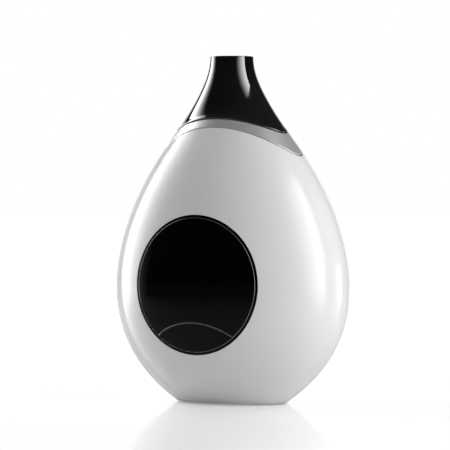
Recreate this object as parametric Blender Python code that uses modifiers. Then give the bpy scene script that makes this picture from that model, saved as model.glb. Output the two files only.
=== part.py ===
"""Cool mist humidifier: a flattened drop with a lift-off nozzle, a saddle collar and a round front panel.

Metres, +Z up, the front faces -Y, the origin is under the middle of the base, on the surface it stands on.
The tank is filled through the collar. A fan in the base blows air up a riser into the tank, and the air
carries the mist from the transducer up the chimney and out of the nozzle.
"""

import math

import bmesh
import bpy
from mathutils import Matrix, Vector

# ---- Driving sizes -----------------------------------------------------------------------------
HEIGHT = 0.350
WIDTH = 0.2551
DEPTH = 0.1684
OUTLET_RADIUS = 0.0220
FOOT_LIFT = 0.0010

# The side outline, from the base to the outlet, as three Bezier arcs.
# Each point is (share of half the width, share of the height).
NECK_SHARE = OUTLET_RADIUS / (WIDTH / 2)
OUTLINE = (
    ((0.463, 0.0), (0.731, 0.064), (1.0, 0.168), (1.0, 0.327)),
    ((1.0, 0.327), (1.0, 0.343), (1.038, 0.515), (0.5485, 0.748)),
    ((0.5485, 0.748), (0.235, 0.898), (NECK_SHARE, 0.945), (NECK_SHARE, 1.0)),
)
# The nozzle turns from the body's flat oval (share 0) to a round outlet (share 1) between these heights.
ROUNDING_START = 0.820
ROUNDING_END = 0.985
# Saddle seams: height share = crest - square * u^2 - fourth * u^4, with u the share of half the width.
LOWER_SEAM = (0.7934, 0.1929, 0.0456)
UPPER_SEAM = (0.8187, 0.1643, 0.0325)

# Walls and clearances.
SHELL_WALL = 0.0030
COLLAR_WALL = 0.0032
COLLAR_LOW, COLLAR_HIGH, COLLAR_DROP = 0.71, 0.835, 0.012
NOZZLE_WALL = 0.0025
NOZZLE_LOW = 0.76
TANK_WALL = 0.0022
TANK_GAP = 0.0016
BASE_GAP = 0.0008
SEAM_GAP = 0.0006
TOUCH_GAP = 0.0003
SCREW_CLEARANCE = 0.0004

# Round front panel.
PANEL_RADIUS = 0.0695
PANEL_HEIGHT = 0.1207
RIM_WIDTH = 0.0021
PANEL_INSET = 0.0002
LENS_INSET = 0.0003
LENS_THICKNESS = 0.0025
BUTTON_THICKNESS = 0.0017
BUTTON_ARC_RADIUS = 0.0750
BUTTON_ARC_CREST = 0.0320
BUTTON_SPLIT = 0.0003
BUTTON_PLUNGER_RADIUS = 0.0025
BUTTON_PLUNGER_RISE = 0.0168
BUTTON_TRAVEL = 0.0008
PLUNGER_HOLE_GAP = 0.0015
BEZEL_THICKNESS = 0.0020
BEZEL_FLANGE = 0.0035
PANEL_REACH = 0.0140
WINDOW_WIDTH = 0.0380
WINDOW_HEIGHT = 0.0180
WINDOW_RISE = 0.0035

# Display board behind the panel.
BOARD_THICKNESS = 0.0016
DISPLAY_BOARD_WIDTH = 0.0560
DISPLAY_BOARD_MARGIN = 0.0108
DISPLAY_BOARD_RISE = 0.0203
DISPLAY_BOSS_X = 0.0230
DISPLAY_BOSS_RISE = 0.0140
DISPLAY_BOSS_DROP = 0.0050
BOSS_RADIUS = 0.0030
BOSS_BORE_DEPTH = 0.0045
MODULE_WIDTH = 0.0340
MODULE_HEIGHT = 0.0140
MODULE_DEPTH = 0.0090
MODULE_ROOM = 0.0020
SWITCH_SIZE = 0.0060
SWITCH_DEEP = 0.0042
SWITCH_ROOM = 0.0015

# Tank, chimney, riser and float.
TANK_FRONT_ROOM = 0.0084
PANEL_ROOM = 0.0030
TANK_RIM_DROP = 0.0060
CHIMNEY_BASE_RADIUS = 0.0210
CHIMNEY_BASE_HEIGHT = 0.0200
CHIMNEY_TOP_RADIUS = 0.0170
CHIMNEY_HEADROOM = 0.0045
CHIMNEY_WALL = 0.0016
CHIMNEY_SLOT_WIDTH = 0.0100
CHIMNEY_SLOT_HEIGHT = 0.0080
RISER_RADIUS = 0.0090
RISER_WALL = 0.0014
RISER_DROP = 0.0250
RISER_FOOT_RADIUS = 0.0130
RISER_FOOT_THICKNESS = 0.0020
FLOAT_X = 0.0420
FLOAT_Y = 0.0120
FLOAT_RADIUS = 0.0130
FLOAT_HEIGHT = 0.0140
FLOAT_CHAMFER = 0.0020
FLOAT_BORE_GAP = 0.0008
FLOAT_SHOULDER = 0.0030
FLOAT_TRAVEL = 0.0220
FLOAT_POST_RADIUS = 0.0040
FLOAT_CAP_RADIUS = 0.0070
FLOAT_CAP_THICKNESS = 0.0030
REED_RADIUS = 0.0018
REED_LENGTH = 0.0160
REED_BORE_DEPTH = 0.0220

# Transducer under the tank floor.
DISC_RADIUS = 0.0100
DISC_THICKNESS = 0.0010
SEAL_RADIUS = 0.0128
SEAL_THICKNESS = 0.0028
SEAL_LIP = 0.0015
CLAMP_RADIUS = 0.0210
CLAMP_THICKNESS = 0.0023
CLAMP_SCREW_CIRCLE = 0.0175
CLAMP_SCREWS = 3
CLAMP_BOSS_RADIUS = 0.0032
CLAMP_BORE_DEPTH = 0.0035

# Base plate, feet and the posts of the tank that it is screwed to.
BASE_THICKNESS = 0.0030
FOOT_X = 0.0370
FOOT_Y = 0.0130
FOOT_RADIUS = 0.0060
FOOT_SINK = 0.0012
POST_X = 0.0120
POST_Y = 0.0265
POST_RADIUS = 0.0040
SCREW_RADIUS = 0.0012
SCREW_HEAD_RADIUS = 0.0026
SCREW_HEAD_HEIGHT = 0.0014
SCREW_GRIP = 0.0080
SCREW_BITE = 0.0030

# Driver board.
DRIVER_BOARD_X = 0.0840
DRIVER_BOARD_Y = 0.0420
DRIVER_BOARD_HEIGHT = 0.0120
STANDOFF_X = 0.0365
STANDOFF_Y = 0.0165
STANDOFF_RADIUS = 0.0030
STANDOFF_BORE_DEPTH = 0.0055
TRANSFORMER_SIZE = (0.0240, 0.0200, 0.0180)
TRANSFORMER_PLACE = (0.0190, 0.0050)
CAPACITOR_RADIUS = 0.0060
CAPACITOR_HEIGHT = 0.0200
CAPACITOR_Y = -0.0105
CAPACITOR_EDGE = 0.0006
HEAT_SINK_SIZE = (0.0240, 0.0120, 0.0220)
HEAT_SINK_PLACE = (-0.0190, -0.0100)
HEAT_SINK_BACK = 0.0030
HEAT_SINK_FINS = 6
GROOVE_SHARE = 0.55

# Fan, duct and filter at the rear.
FAN_SIDE_GAP = 0.0010
FAN_LOW = 0.0240
FAN_SIZE = 0.0380
FAN_ROOM = 0.0040
FAN_CORNER_GAP = 0.0015
FAN_DEPTH = 0.0110
FAN_RIM = 0.0017
FAN_TIP_GAP = 0.0007
FAN_HUB_RADIUS = 0.0080
FAN_HUB_PLATE = 0.0020
FAN_HUB_GAP = 0.0006
FAN_STRUTS = 3
FAN_STRUT_WIDTH = 0.0022
FAN_BLADES = 7
FAN_BLADE_THICKNESS = 0.0012
FAN_BLADE_CHORD = 0.0085
FAN_BLADE_PITCH = math.radians(38)
DUCT_PLATE = 0.0015
DUCT_BEND = 0.0120
DUCT_OVERRUN = 0.0050
FILTER_WIDTH = 0.0440
FILTER_HEIGHT = 0.0320
FILTER_COVER_WALL = 0.0022
FILTER_GAP = 0.0005
FILTER_TRAY_WALL = 0.0014
FILTER_TRAY_DEPTH = 0.0080
FILTER_THICKNESS = 0.0060
FILTER_SEAT = 0.0005
VENT_SLOTS = 6
VENT_PITCH = 0.0046
VENT_WIDTH = 0.0024
VENT_MARGIN = 0.0040
TRAY_MARGIN = 0.0030

# Mains inlet at the rear.
INLET_X = 0.0360
INLET_HEIGHT = 0.0440
INLET_TILT = math.radians(24)
INLET_WIDTH = 0.0240
INLET_TALL = 0.0160
INLET_DEEP = 0.0180
INLET_MOUTH_WIDTH = 0.0184
INLET_MOUTH_HEIGHT = 0.0094
INLET_MOUTH_DEPTH = 0.0120
INLET_PIN_RADIUS = 0.0012
INLET_PIN_PITCH = 0.0086
INLET_SINK = 0.0025

# Nozzle insert.
SKIRT_X = 0.0450
SKIRT_Y = 0.0245
SKIRT_LOW = 0.7486
SKIRT_TOP = 0.8171
FUNNEL_WALL = 0.0016
FUNNEL_GAP = 0.0008
FUNNEL_END = 0.9800
FUNNEL_EASE = 0.45
FUNNEL_NECK = 0.0160

LEAD_RADIUS = 0.0011

# Facets round the drop, round the front panel, and round turned pieces.
DROP_SIDES = 36
PANEL_SIDES = 48
ROUND_SIDES = 20
SMALL_SIDES = 10

HALF_WIDTH = WIDTH / 2
HALF_DEPTH = DEPTH / 2
BODY_RATIO = DEPTH / WIDTH
FAR = 0.300
TINY = 0.0020
BASE_TOP = FOOT_LIFT + BASE_THICKNESS
FAN_BORE = FAN_SIZE / 2 - FAN_RIM
FAN_X = -(POST_X + POST_RADIUS + FAN_SIDE_GAP + FAN_SIZE / 2)
FAN_HEIGHT = FAN_LOW + FAN_SIZE / 2
TANK_FLOOR = FAN_LOW + FAN_SIZE + FAN_ROOM
TANK_INSIDE = TANK_FLOOR + TANK_WALL
CHIMNEY_TOP = HEIGHT * SKIRT_LOW - CHIMNEY_HEADROOM
RISER_TOP = CHIMNEY_TOP - RISER_DROP


# ---- The drop's outline --------------------------------------------------------------------------
def bezier(points, share):
    """The point at this share of a cubic Bezier arc, and its direction."""
    start, out, into, end = (Vector(point) for point in points)
    rest = 1 - share
    place = start * rest**3 + out * 3 * rest**2 * share + into * 3 * rest * share**2 + end * share**3
    along = (out - start) * rest**2 + (into - out) * 2 * rest * share + (end - into) * share**2
    return place, along


def outline_at(station, inset=0.0):
    """(half width, height) at a station from 0 at the base to 3 at the outlet, moved in by inset."""
    arc = min(max(int(station), 0), len(OUTLINE) - 1)
    place, along = bezier(OUTLINE[arc], station - arc)
    scale = Vector((HALF_WIDTH, HEIGHT))
    place = place * scale
    along = (along * scale).normalized()
    return place.x - along.y * inset, place.y + along.x * inset


def station_at(height, inset=0.0):
    """The station where the outline, moved in by inset, is at this height."""
    low, high = 0.0, float(len(OUTLINE))
    for _ in range(40):
        middle = (low + high) / 2
        if outline_at(middle, inset)[1] < height:
            low = middle
        else:
            high = middle
    return low


def half_width_at(height, inset=0.0):
    return outline_at(station_at(height, inset), inset)[0]


def surface_y(x, height, inset=0.0):
    """How far the drop's surface, moved in by inset, is from the middle plane."""
    half = half_width_at(height, inset)
    ratio = (HALF_DEPTH - inset) / (HALF_WIDTH - inset)
    return half * ratio * math.sqrt(max(1 - (x / half) ** 2, 0.0))


def section_ratio(height):
    """Depth over width of the nozzle's section, from the body's oval to the round outlet."""
    share = (height / HEIGHT - ROUNDING_START) / (ROUNDING_END - ROUNDING_START)
    share = min(max(share, 0.0), 1.0)
    return BODY_RATIO + (1 - BODY_RATIO) * share * share * (3 - 2 * share)


def seam_height(seam, x):
    crest, square, fourth = seam
    share = x / HALF_WIDTH
    return HEIGHT * (crest - square * share**2 - fourth * share**4)


# ---- Scene, materials and small makers -------------------------------------------------------------
for old in list(bpy.data.objects):
    bpy.data.objects.remove(old)

PARTS = bpy.data.collections.new("cool_mist_humidifier")
CUTTERS = bpy.data.collections.new("cutters")
for collection in (PARTS, CUTTERS):
    bpy.context.scene.collection.children.link(collection)


def make_material(name, colour, roughness, metallic=0.0, alpha=1.0):
    material = bpy.data.materials.new(name)
    material.use_nodes = True
    shader = material.node_tree.nodes["Principled BSDF"]
    shader.inputs["Base Color"].default_value = (*colour, 1.0)
    shader.inputs["Roughness"].default_value = roughness
    shader.inputs["Metallic"].default_value = metallic
    shader.inputs["Alpha"].default_value = alpha
    return material


WHITE_GLOSS = make_material("white_gloss_plastic", (0.86, 0.86, 0.86), 0.18)
WHITE_MATT = make_material("white_matt_plastic", (0.78, 0.79, 0.80), 0.5)
SILVER = make_material("satin_silver", (0.70, 0.70, 0.71), 0.32, metallic=1.0)
BLACK_GLOSS = make_material("black_gloss_plastic", (0.008, 0.008, 0.009), 0.08)
BLACK_MATT = make_material("black_matt_plastic", (0.03, 0.03, 0.03), 0.55)
TANK_CLEAR = make_material("frosted_tank", (0.80, 0.86, 0.90), 0.3, alpha=0.6)
RUBBER = make_material("dark_rubber", (0.05, 0.05, 0.05), 0.85)
SILICONE = make_material("white_silicone", (0.75, 0.75, 0.72), 0.6)
STEEL = make_material("screw_steel", (0.55, 0.55, 0.56), 0.35, metallic=1.0)
BRASS = make_material("contact_brass", (0.72, 0.55, 0.28), 0.3, metallic=1.0)
ALUMINIUM = make_material("cast_aluminium", (0.66, 0.67, 0.68), 0.45, metallic=1.0)
CERAMIC = make_material("disc_plating", (0.80, 0.76, 0.66), 0.35, metallic=0.8)
BOARD_GREEN = make_material("board_laminate", (0.03, 0.20, 0.09), 0.4)
FOAM = make_material("filter_foam", (0.10, 0.11, 0.12), 0.95)
LEAD_GREY = make_material("lead_sheath", (0.30, 0.30, 0.32), 0.5)


def add_object(name, mesh, material=None, place=(0.0, 0.0, 0.0), turn=(0.0, 0.0, 0.0)):
    """A part when it has a material, and a cutter when it hasn't."""
    made = bpy.data.objects.new(name, mesh)
    made.location = place
    made.rotation_euler = turn
    if material is None:
        CUTTERS.objects.link(made)
        made.hide_render = True
        made.display_type = "WIRE"
    else:
        PARTS.objects.link(made)
        mesh.materials.clear()
        mesh.materials.append(material)
        mesh.shade_smooth()
        mesh.set_sharp_from_angle(angle=math.radians(35))
    return made


def box(name, size, place, material=None, turn=(0.0, 0.0, 0.0), bevel=0.0):
    mesh = bpy.data.meshes.new(name)
    form = bmesh.new()
    bmesh.ops.create_cube(form, size=1.0, matrix=Matrix.Diagonal((*size, 1.0)))
    form.to_mesh(mesh)
    form.free()
    made = add_object(name, mesh, material, place, turn)
    if bevel:
        rounding = made.modifiers.new("rounding", "BEVEL")
        rounding.width = bevel
        rounding.segments = 1
    return made


def cylinder(name, radius, length, place, material=None, turn=(0.0, 0.0, 0.0), sides=SMALL_SIDES):
    mesh = bpy.data.meshes.new(name)
    form = bmesh.new()
    bmesh.ops.create_cone(form, cap_ends=True, segments=sides, radius1=radius, radius2=radius, depth=length)
    form.to_mesh(mesh)
    form.free()
    return add_object(name, mesh, material, place, turn)


ALONG_Y = (math.radians(90), 0.0, 0.0)


def front_cylinder(name, radius, sides, x=0.0, height=PANEL_HEIGHT, start=0.0):
    """A cutter along -Y that starts this far in front of the middle plane."""
    return cylinder(name, radius, FAR, (x, -start - FAR / 2, height), None, ALONG_Y, sides)


def turned(name, profile, material=None, place=(0.0, 0.0, 0.0), turn=(0.0, 0.0, 0.0),
           closed=False, sides=ROUND_SIDES):
    """A turned solid. The profile's (radius, height) points run down its outer side."""
    mesh = bpy.data.meshes.new(name)
    edges = [(i, i + 1) for i in range(len(profile) - 1)]
    if closed:
        edges.append((len(profile) - 1, 0))
    mesh.from_pydata([(radius, 0.0, height) for radius, height in profile], edges, [])
    made = add_object(name, mesh, material, place, turn)
    screw = made.modifiers.new("turn", "SCREW")
    screw.steps = sides
    screw.render_steps = sides
    screw.use_merge_vertices = True
    screw.merge_threshold = 0.00001
    screw.use_smooth_shade = False
    return made


def evaluated_mesh(made):
    bpy.context.view_layer.update()
    graph = bpy.context.evaluated_depsgraph_get()
    return bpy.data.meshes.new_from_object(made.evaluated_get(graph))


def drop_mesh(name, stations, inset=0.0, closed=False):
    """The drop's surface between stations, from top to bottom, as one squashed turning."""
    profile = [outline_at(station, inset) for station in stations]
    if closed:
        profile = [(0.0, profile[0][1])] + profile + [(0.0, profile[-1][1])]
    former = turned(name + "_former", profile, sides=DROP_SIDES)
    mesh = evaluated_mesh(former)
    bpy.data.objects.remove(former)
    ratio = (HALF_DEPTH - inset) / (HALF_WIDTH - inset)
    mesh.transform(Matrix.Diagonal((1.0, ratio, 1.0, 1.0)))
    return mesh


def stations_between(low, high, count):
    """Stations from high to low, for a profile that runs from top to bottom."""
    return [high + (low - high) * i / (count - 1) for i in range(count)]


def skin(name, stations, depth, thickness, material=None):
    """A layer of the drop's wall, from this depth under the surface, with this thickness."""
    made = add_object(name, drop_mesh(name, stations), material)
    wall = made.modifiers.new("wall", "SOLIDIFY")
    wall.thickness = thickness
    wall.offset = 1 - 2 * (depth + thickness) / thickness
    wall.use_even_offset = True
    return made


def inner_drop(name, inset, material=None):
    """The closed solid inside the drop, this far under its surface."""
    stations = stations_between(-0.1, station_at(HEIGHT * SOLID_REACH), 13)
    return add_object(name, drop_mesh(name, stations, inset, closed=True), material)


def prism(name, outline, thickness, material=None, upright=True, place=(0.0, 0.0, 0.0)):
    """An outline of (x, z) points, or (x, y) when not upright, made this thick."""
    curve = bpy.data.curves.new(name, "CURVE")
    curve.dimensions = "2D"
    curve.fill_mode = "BOTH"
    curve.extrude = thickness / 2
    line = curve.splines.new("POLY")
    line.points.add(len(outline) - 1)
    for point, (across, along) in zip(line.points, outline):
        point.co = (across, along, 0.0, 1.0)
    line.use_cyclic_u = True
    former = bpy.data.objects.new(name + "_former", curve)
    CUTTERS.objects.link(former)
    mesh = evaluated_mesh(former)
    bpy.data.objects.remove(former)
    form = bmesh.new()
    form.from_mesh(mesh)
    bmesh.ops.remove_doubles(form, verts=form.verts, dist=0.00001)
    if upright:
        bmesh.ops.rotate(form, verts=form.verts, matrix=Matrix.Rotation(math.radians(90), 3, "X"))
    bmesh.ops.recalc_face_normals(form, faces=form.faces)
    form.to_mesh(mesh)
    form.free()
    return add_object(name, mesh, material, place)


def tube(name, points, radius, material=None, resolution=2):
    """A round bar along a smooth line through these points, with closed ends."""
    curve = bpy.data.curves.new(name, "CURVE")
    curve.dimensions = "3D"
    curve.bevel_depth = radius
    curve.bevel_resolution = resolution
    curve.use_fill_caps = True
    line = curve.splines.new("POLY")
    line.points.add(len(points) - 1)
    for point, place in zip(line.points, points):
        point.co = (*place, 1.0)
    made = bpy.data.objects.new(name, curve)
    if material is None:
        CUTTERS.objects.link(made)
        made.hide_render = True
    else:
        PARTS.objects.link(made)
        curve.materials.append(material)
    return made


def as_mesh(made):
    """The curve object as a mesh object with welded caps."""
    mesh = evaluated_mesh(made)
    form = bmesh.new()
    form.from_mesh(mesh)
    bmesh.ops.remove_doubles(form, verts=form.verts, dist=0.00001)
    bmesh.ops.recalc_face_normals(form, faces=form.faces)
    form.to_mesh(mesh)
    form.free()
    name = made.name
    bpy.data.objects.remove(made)
    return add_object(name, mesh)


def apply_boolean(target, tool, operation):
    step = target.modifiers.new(tool.name, "BOOLEAN")
    step.operation = operation
    step.solver = "EXACT"
    step.object = tool
    return target


def cut(target, tool):
    return apply_boolean(target, tool, "DIFFERENCE")


def keep(target, tool):
    return apply_boolean(target, tool, "INTERSECT")


def join(target, tool):
    return apply_boolean(target, tool, "UNION")


def set_origin(made, place):
    """Moves the object's origin to its joint's axis, and leaves its shape where it is."""
    made.data.transform(Matrix.Translation(-Vector(place)))
    made.location = place


def seam_points(seam, lift, reach, steps=28):
    across = [reach * (2 * i / steps - 1) for i in range(steps + 1)]
    return [(x, seam_height(seam, x) + lift) for x in across]


def above_seam(name, seam, lift):
    """A cutter that takes away all that is above the seam."""
    reach = HALF_WIDTH * 0.9
    top = HEIGHT * 1.1
    return prism(name, seam_points(seam, lift, reach) + [(reach, top), (-reach, top)], FAR)


def below_seam(name, seam, lift):
    """A cutter that takes away all that is below the seam."""
    reach = HALF_WIDTH * 0.9
    low = HEIGHT * 0.55
    return prism(name, [(-reach, low), (reach, low)] + seam_points(seam, lift, reach)[::-1], FAR)


# ---- Shell, collar and nozzle ------------------------------------------------------------------
CREST_STATION = station_at(HEIGHT * (LOWER_SEAM[0] + 0.02))
FILTER_LOW = FAN_HEIGHT + TOUCH_GAP - FILTER_HEIGHT / 2
FILTER_CORNER_X = abs(FAN_X) + FILTER_WIDTH / 2
REAR_CORNER = surface_y(FILTER_CORNER_X, FILTER_LOW)
INLET_FACE_Y = surface_y(INLET_X + INLET_WIDTH / 2, INLET_HEIGHT) - INLET_SINK
HOLE_DEPTH = 0.080
SOLID_REACH = 0.86


def inlet_place(distance):
    """The point this far inside the inlet's face, along its tilted axis."""
    y = INLET_FACE_Y - distance * math.cos(INLET_TILT)
    return (INLET_X, y, INLET_HEIGHT + distance * math.sin(INLET_TILT))


def make_outer_shell():
    stations = stations_between(-0.1, CREST_STATION, 14)
    shell = skin("outer_shell", stations, 0.0, SHELL_WALL, WHITE_GLOSS)
    cut(shell, above_seam("shell_top_cut", LOWER_SEAM, -SEAM_GAP / 2))
    cut(shell, box("shell_base_cut", (FAR, FAR, FAR), (0.0, 0.0, FOOT_LIFT - FAR / 2)))
    cut(shell, front_cylinder("shell_panel_cut", PANEL_RADIUS + TOUCH_GAP, PANEL_SIDES))
    opening = (FILTER_WIDTH + 2 * FILTER_GAP, HOLE_DEPTH, FILTER_HEIGHT + 2 * FILTER_GAP)
    cut(shell, box("shell_filter_cut", opening, (FAN_X, REAR_CORNER, FAN_HEIGHT)))
    inlet_hole = (INLET_WIDTH + 2 * TOUCH_GAP, HOLE_DEPTH, INLET_TALL + 2 * TOUCH_GAP)
    cut(shell, box("shell_inlet_cut", inlet_hole, inlet_place(0.0), turn=(-INLET_TILT, 0.0, 0.0)))


def make_top_collar():
    low = station_at(seam_height(LOWER_SEAM, half_width_at(HEIGHT * COLLAR_LOW)) - COLLAR_DROP)
    stations = stations_between(low, station_at(HEIGHT * COLLAR_HIGH), 6)
    collar = skin("top_collar", stations, 0.0, COLLAR_WALL, SILVER)
    reach = HALF_WIDTH * 0.9
    band = seam_points(LOWER_SEAM, SEAM_GAP / 2, reach) + seam_points(UPPER_SEAM, -SEAM_GAP / 2, reach)[::-1]
    keep(collar, prism("collar_band", band, FAR))


def loft(name, rings, material=None):
    """An open surface through oval rings of (half width, half depth, height), from bottom to top."""
    form = bmesh.new()
    turn = 2 * math.pi / DROP_SIDES
    rows = [
        [
            form.verts.new((wide * math.cos(turn * i), deep * math.sin(turn * i), height))
            for i in range(DROP_SIDES)
        ]
        for wide, deep, height in rings
    ]
    for lower, upper in zip(rows, rows[1:]):
        for i in range(DROP_SIDES):
            after = (i + 1) % DROP_SIDES
            form.faces.new((lower[i], lower[after], upper[after], upper[i]))
    mesh = bpy.data.meshes.new(name)
    form.to_mesh(mesh)
    form.free()
    return add_object(name, mesh, material)


def add_wall(made, thickness):
    wall = made.modifiers.new("wall", "SOLIDIFY")
    wall.thickness = thickness
    wall.offset = -1.0
    wall.use_even_offset = True


def make_nozzle():
    low = station_at(HEIGHT * NOZZLE_LOW)
    rings = []
    for station in reversed(stations_between(low, float(len(OUTLINE)), 9)):
        wide, height = outline_at(station)
        rings.append((wide, wide * section_ratio(height), height))
    nozzle = loft("nozzle", rings, BLACK_GLOSS)
    add_wall(nozzle, NOZZLE_WALL)
    cut(nozzle, below_seam("nozzle_seam_cut", UPPER_SEAM, SEAM_GAP / 2))
    set_origin(nozzle, (0.0, 0.0, HEIGHT * UPPER_SEAM[0]))


def make_nozzle_funnel():
    end = HEIGHT * FUNNEL_END
    neck = half_width_at(end) - NOZZLE_WALL - FUNNEL_GAP
    low, top = HEIGHT * SKIRT_LOW, HEIGHT * SKIRT_TOP
    rings = [(SKIRT_X, SKIRT_Y, low), (SKIRT_X, SKIRT_Y, top)]
    steps = 4
    for step in range(1, steps + 1):
        share = step / steps
        ease = share * share * (3 - 2 * share) * FUNNEL_EASE + share * (1 - FUNNEL_EASE)
        wide = SKIRT_X + (neck - SKIRT_X) * ease
        deep = SKIRT_Y + (neck - SKIRT_Y) * ease
        rings.append((wide, deep, top + (end - FUNNEL_NECK - top) * share))
    rings.append((neck, neck, end))
    funnel = loft("nozzle_funnel", rings, WHITE_MATT)
    add_wall(funnel, FUNNEL_WALL)
    set_origin(funnel, (0.0, 0.0, top))


# ---- Tank and what stands in it ------------------------------------------------------------------
BEZEL_DEPTH = SHELL_WALL + 2 * TOUCH_GAP
BEZEL_BACK = BEZEL_DEPTH + BEZEL_THICKNESS
PLUNGER_HEIGHT = PANEL_HEIGHT - PANEL_RADIUS + BUTTON_PLUNGER_RISE
SWITCH_LOW = PLUNGER_HEIGHT - SWITCH_SIZE / 2
MODULE_TOP = PANEL_HEIGHT + WINDOW_RISE + MODULE_HEIGHT / 2
LENS_BACK = surface_y(MODULE_WIDTH / 2, MODULE_TOP) - LENS_INSET - LENS_THICKNESS
BOARD_FRONT = min(
    surface_y(0.0, SWITCH_LOW) - BEZEL_BACK - SWITCH_ROOM - SWITCH_DEEP,
    LENS_BACK - MODULE_ROOM - MODULE_DEPTH,
)
BEZEL_EDGE = PANEL_RADIUS + BEZEL_FLANGE
EDGE_ANGLES = [2 * math.pi * i / PANEL_SIDES for i in range(PANEL_SIDES)]
PANEL_BACK = min(
    surface_y(BEZEL_EDGE * math.cos(angle), PANEL_HEIGHT + BEZEL_EDGE * math.sin(angle), BEZEL_BACK)
    for angle in EDGE_ANGLES
)
TANK_FRONT = min(BOARD_FRONT - BOARD_THICKNESS - TANK_FRONT_ROOM, PANEL_BACK - PANEL_ROOM)
FAN_CORNER = surface_y(abs(FAN_X) + FAN_SIZE / 2, FAN_LOW, SHELL_WALL) - FAN_CORNER_GAP
FAN_BACK = min(REAR_CORNER - FILTER_TRAY_DEPTH - TOUCH_GAP - FILTER_SEAT, FAN_CORNER)
FAN_Y = FAN_BACK - FAN_DEPTH / 2
DUCT_PLATE_Y = FAN_Y - FAN_DEPTH / 2 - TOUCH_GAP - DUCT_PLATE / 2
RISER_Y = DUCT_PLATE_Y - 0.0015 - DUCT_BEND
POST_PLACES = [(x * POST_X, y * POST_Y) for x in (-1, 1) for y in (-1, 1)]
CLAMP_TOP = TANK_FLOOR - TOUCH_GAP - SEAL_THICKNESS - TOUCH_GAP
CLAMP_TURN = 2 * math.pi / CLAMP_SCREWS
CLAMP_PLACES = [
    (CLAMP_SCREW_CIRCLE * math.cos(CLAMP_TURN * i + 0.5), CLAMP_SCREW_CIRCLE * math.sin(CLAMP_TURN * i + 0.5))
    for i in range(CLAMP_SCREWS)
]
FLOAT_REST = TANK_INSIDE + FLOAT_SHOULDER + TOUCH_GAP
FLOAT_CAP_LOW = FLOAT_REST + FLOAT_HEIGHT + FLOAT_TRAVEL + TOUCH_GAP
FLOAT_POST_TOP = FLOAT_CAP_LOW + FLOAT_CAP_THICKNESS


def tank_room(name, inset, floor, front, material=None):
    """The tank's form: the drop's inside, flat in front of the electronics and above the floor."""
    room = inner_drop(name, inset, material)
    cut(room, box(name + "_floor_cut", (FAR, FAR, FAR), (0.0, 0.0, floor - FAR / 2)))
    cut(room, box(name + "_front_cut", (FAR, FAR, FAR * 2), (0.0, -front - FAR / 2, 0.0)))
    return room


def make_water_tank():
    """The tank's wall, open at the top and at the floor."""
    inset = SHELL_WALL + TANK_GAP
    tank = tank_room("water_tank", inset, TANK_INSIDE + TOUCH_GAP, TANK_FRONT, TANK_CLEAR)
    cut(tank, tank_room("tank_inside", inset + TANK_WALL, TANK_FLOOR, TANK_FRONT - TANK_WALL))
    cut(tank, above_seam("tank_rim_cut", UPPER_SEAM, -TANK_RIM_DROP))


def make_tank_floor():
    """The floor that the wall is welded on, with its screw posts and the float's post."""
    floor = tank_room("tank_floor", SHELL_WALL + TANK_GAP, TANK_FLOOR, TANK_FRONT, TANK_CLEAR)
    cut(floor, box("floor_top_cut", (FAR, FAR, FAR), (0.0, 0.0, TANK_INSIDE + FAR / 2)))
    middle = TANK_FLOOR + TANK_WALL / 2
    hole = SCREW_RADIUS + SCREW_CLEARANCE
    for number, (x, y) in enumerate(POST_PLACES, 1):
        low = BASE_TOP + TOUCH_GAP
        join(floor, cylinder(f"tank_post_{number}", POST_RADIUS, middle - low, (x, y, (middle + low) / 2)))
        bore = SCREW_GRIP + TINY
        cut(floor, cylinder(f"tank_post_bore_{number}", hole, 2 * bore, (x, y, low)))
    for number, (x, y) in enumerate(CLAMP_PLACES, 1):
        low = CLAMP_TOP + TOUCH_GAP
        boss_place = (x, y, (middle + low) / 2)
        join(floor, cylinder(f"clamp_boss_{number}", CLAMP_BOSS_RADIUS, middle - low, boss_place))
        cut(floor, cylinder(f"clamp_bore_{number}", hole, 2 * CLAMP_BORE_DEPTH, (x, y, low)))
    post_length = FLOAT_POST_TOP - middle
    post_place = (FLOAT_X, FLOAT_Y, middle + post_length / 2)
    join(floor, cylinder("float_post", FLOAT_POST_RADIUS, post_length, post_place, sides=16))
    shoulder_height = FLOAT_SHOULDER + TANK_WALL / 2
    shoulder_place = (FLOAT_X, FLOAT_Y, middle + shoulder_height / 2)
    shoulder_radius = FLOAT_POST_RADIUS + TINY
    join(floor, cylinder("float_shoulder", shoulder_radius, shoulder_height, shoulder_place, sides=16))
    reed_place = (FLOAT_X, FLOAT_Y, TANK_FLOOR)
    cut(floor, cylinder("reed_bore", REED_RADIUS + TOUCH_GAP, 2 * REED_BORE_DEPTH, reed_place))
    through = 4 * TANK_WALL
    lip = DISC_RADIUS - SEAL_LIP
    cut(floor, cylinder("transducer_hole", lip, through, (0.0, 0.0, middle), sides=ROUND_SIDES))
    bore = RISER_RADIUS - RISER_WALL
    cut(floor, cylinder("duct_hole", bore, through, (FAN_X, RISER_Y, middle), sides=ROUND_SIDES))


def make_mist_chimney():
    low = TANK_INSIDE + TOUCH_GAP
    waist = low + CHIMNEY_BASE_HEIGHT
    profile = [
        (CHIMNEY_TOP_RADIUS, CHIMNEY_TOP),
        (CHIMNEY_BASE_RADIUS, waist),
        (CHIMNEY_BASE_RADIUS, low),
        (CHIMNEY_BASE_RADIUS - CHIMNEY_WALL, low),
        (CHIMNEY_BASE_RADIUS - CHIMNEY_WALL, waist),
        (CHIMNEY_TOP_RADIUS - CHIMNEY_WALL, CHIMNEY_TOP),
    ]
    chimney = turned("mist_chimney", profile, TANK_CLEAR, closed=True)
    for number, angle in enumerate((30, 90, 150), 1):
        size = (0.1, CHIMNEY_SLOT_WIDTH, 2 * CHIMNEY_SLOT_HEIGHT)
        slot = box(f"chimney_slot_{number}", size, (0.0, 0.0, low), turn=(0.0, 0.0, math.radians(angle)))
        cut(chimney, slot)


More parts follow.
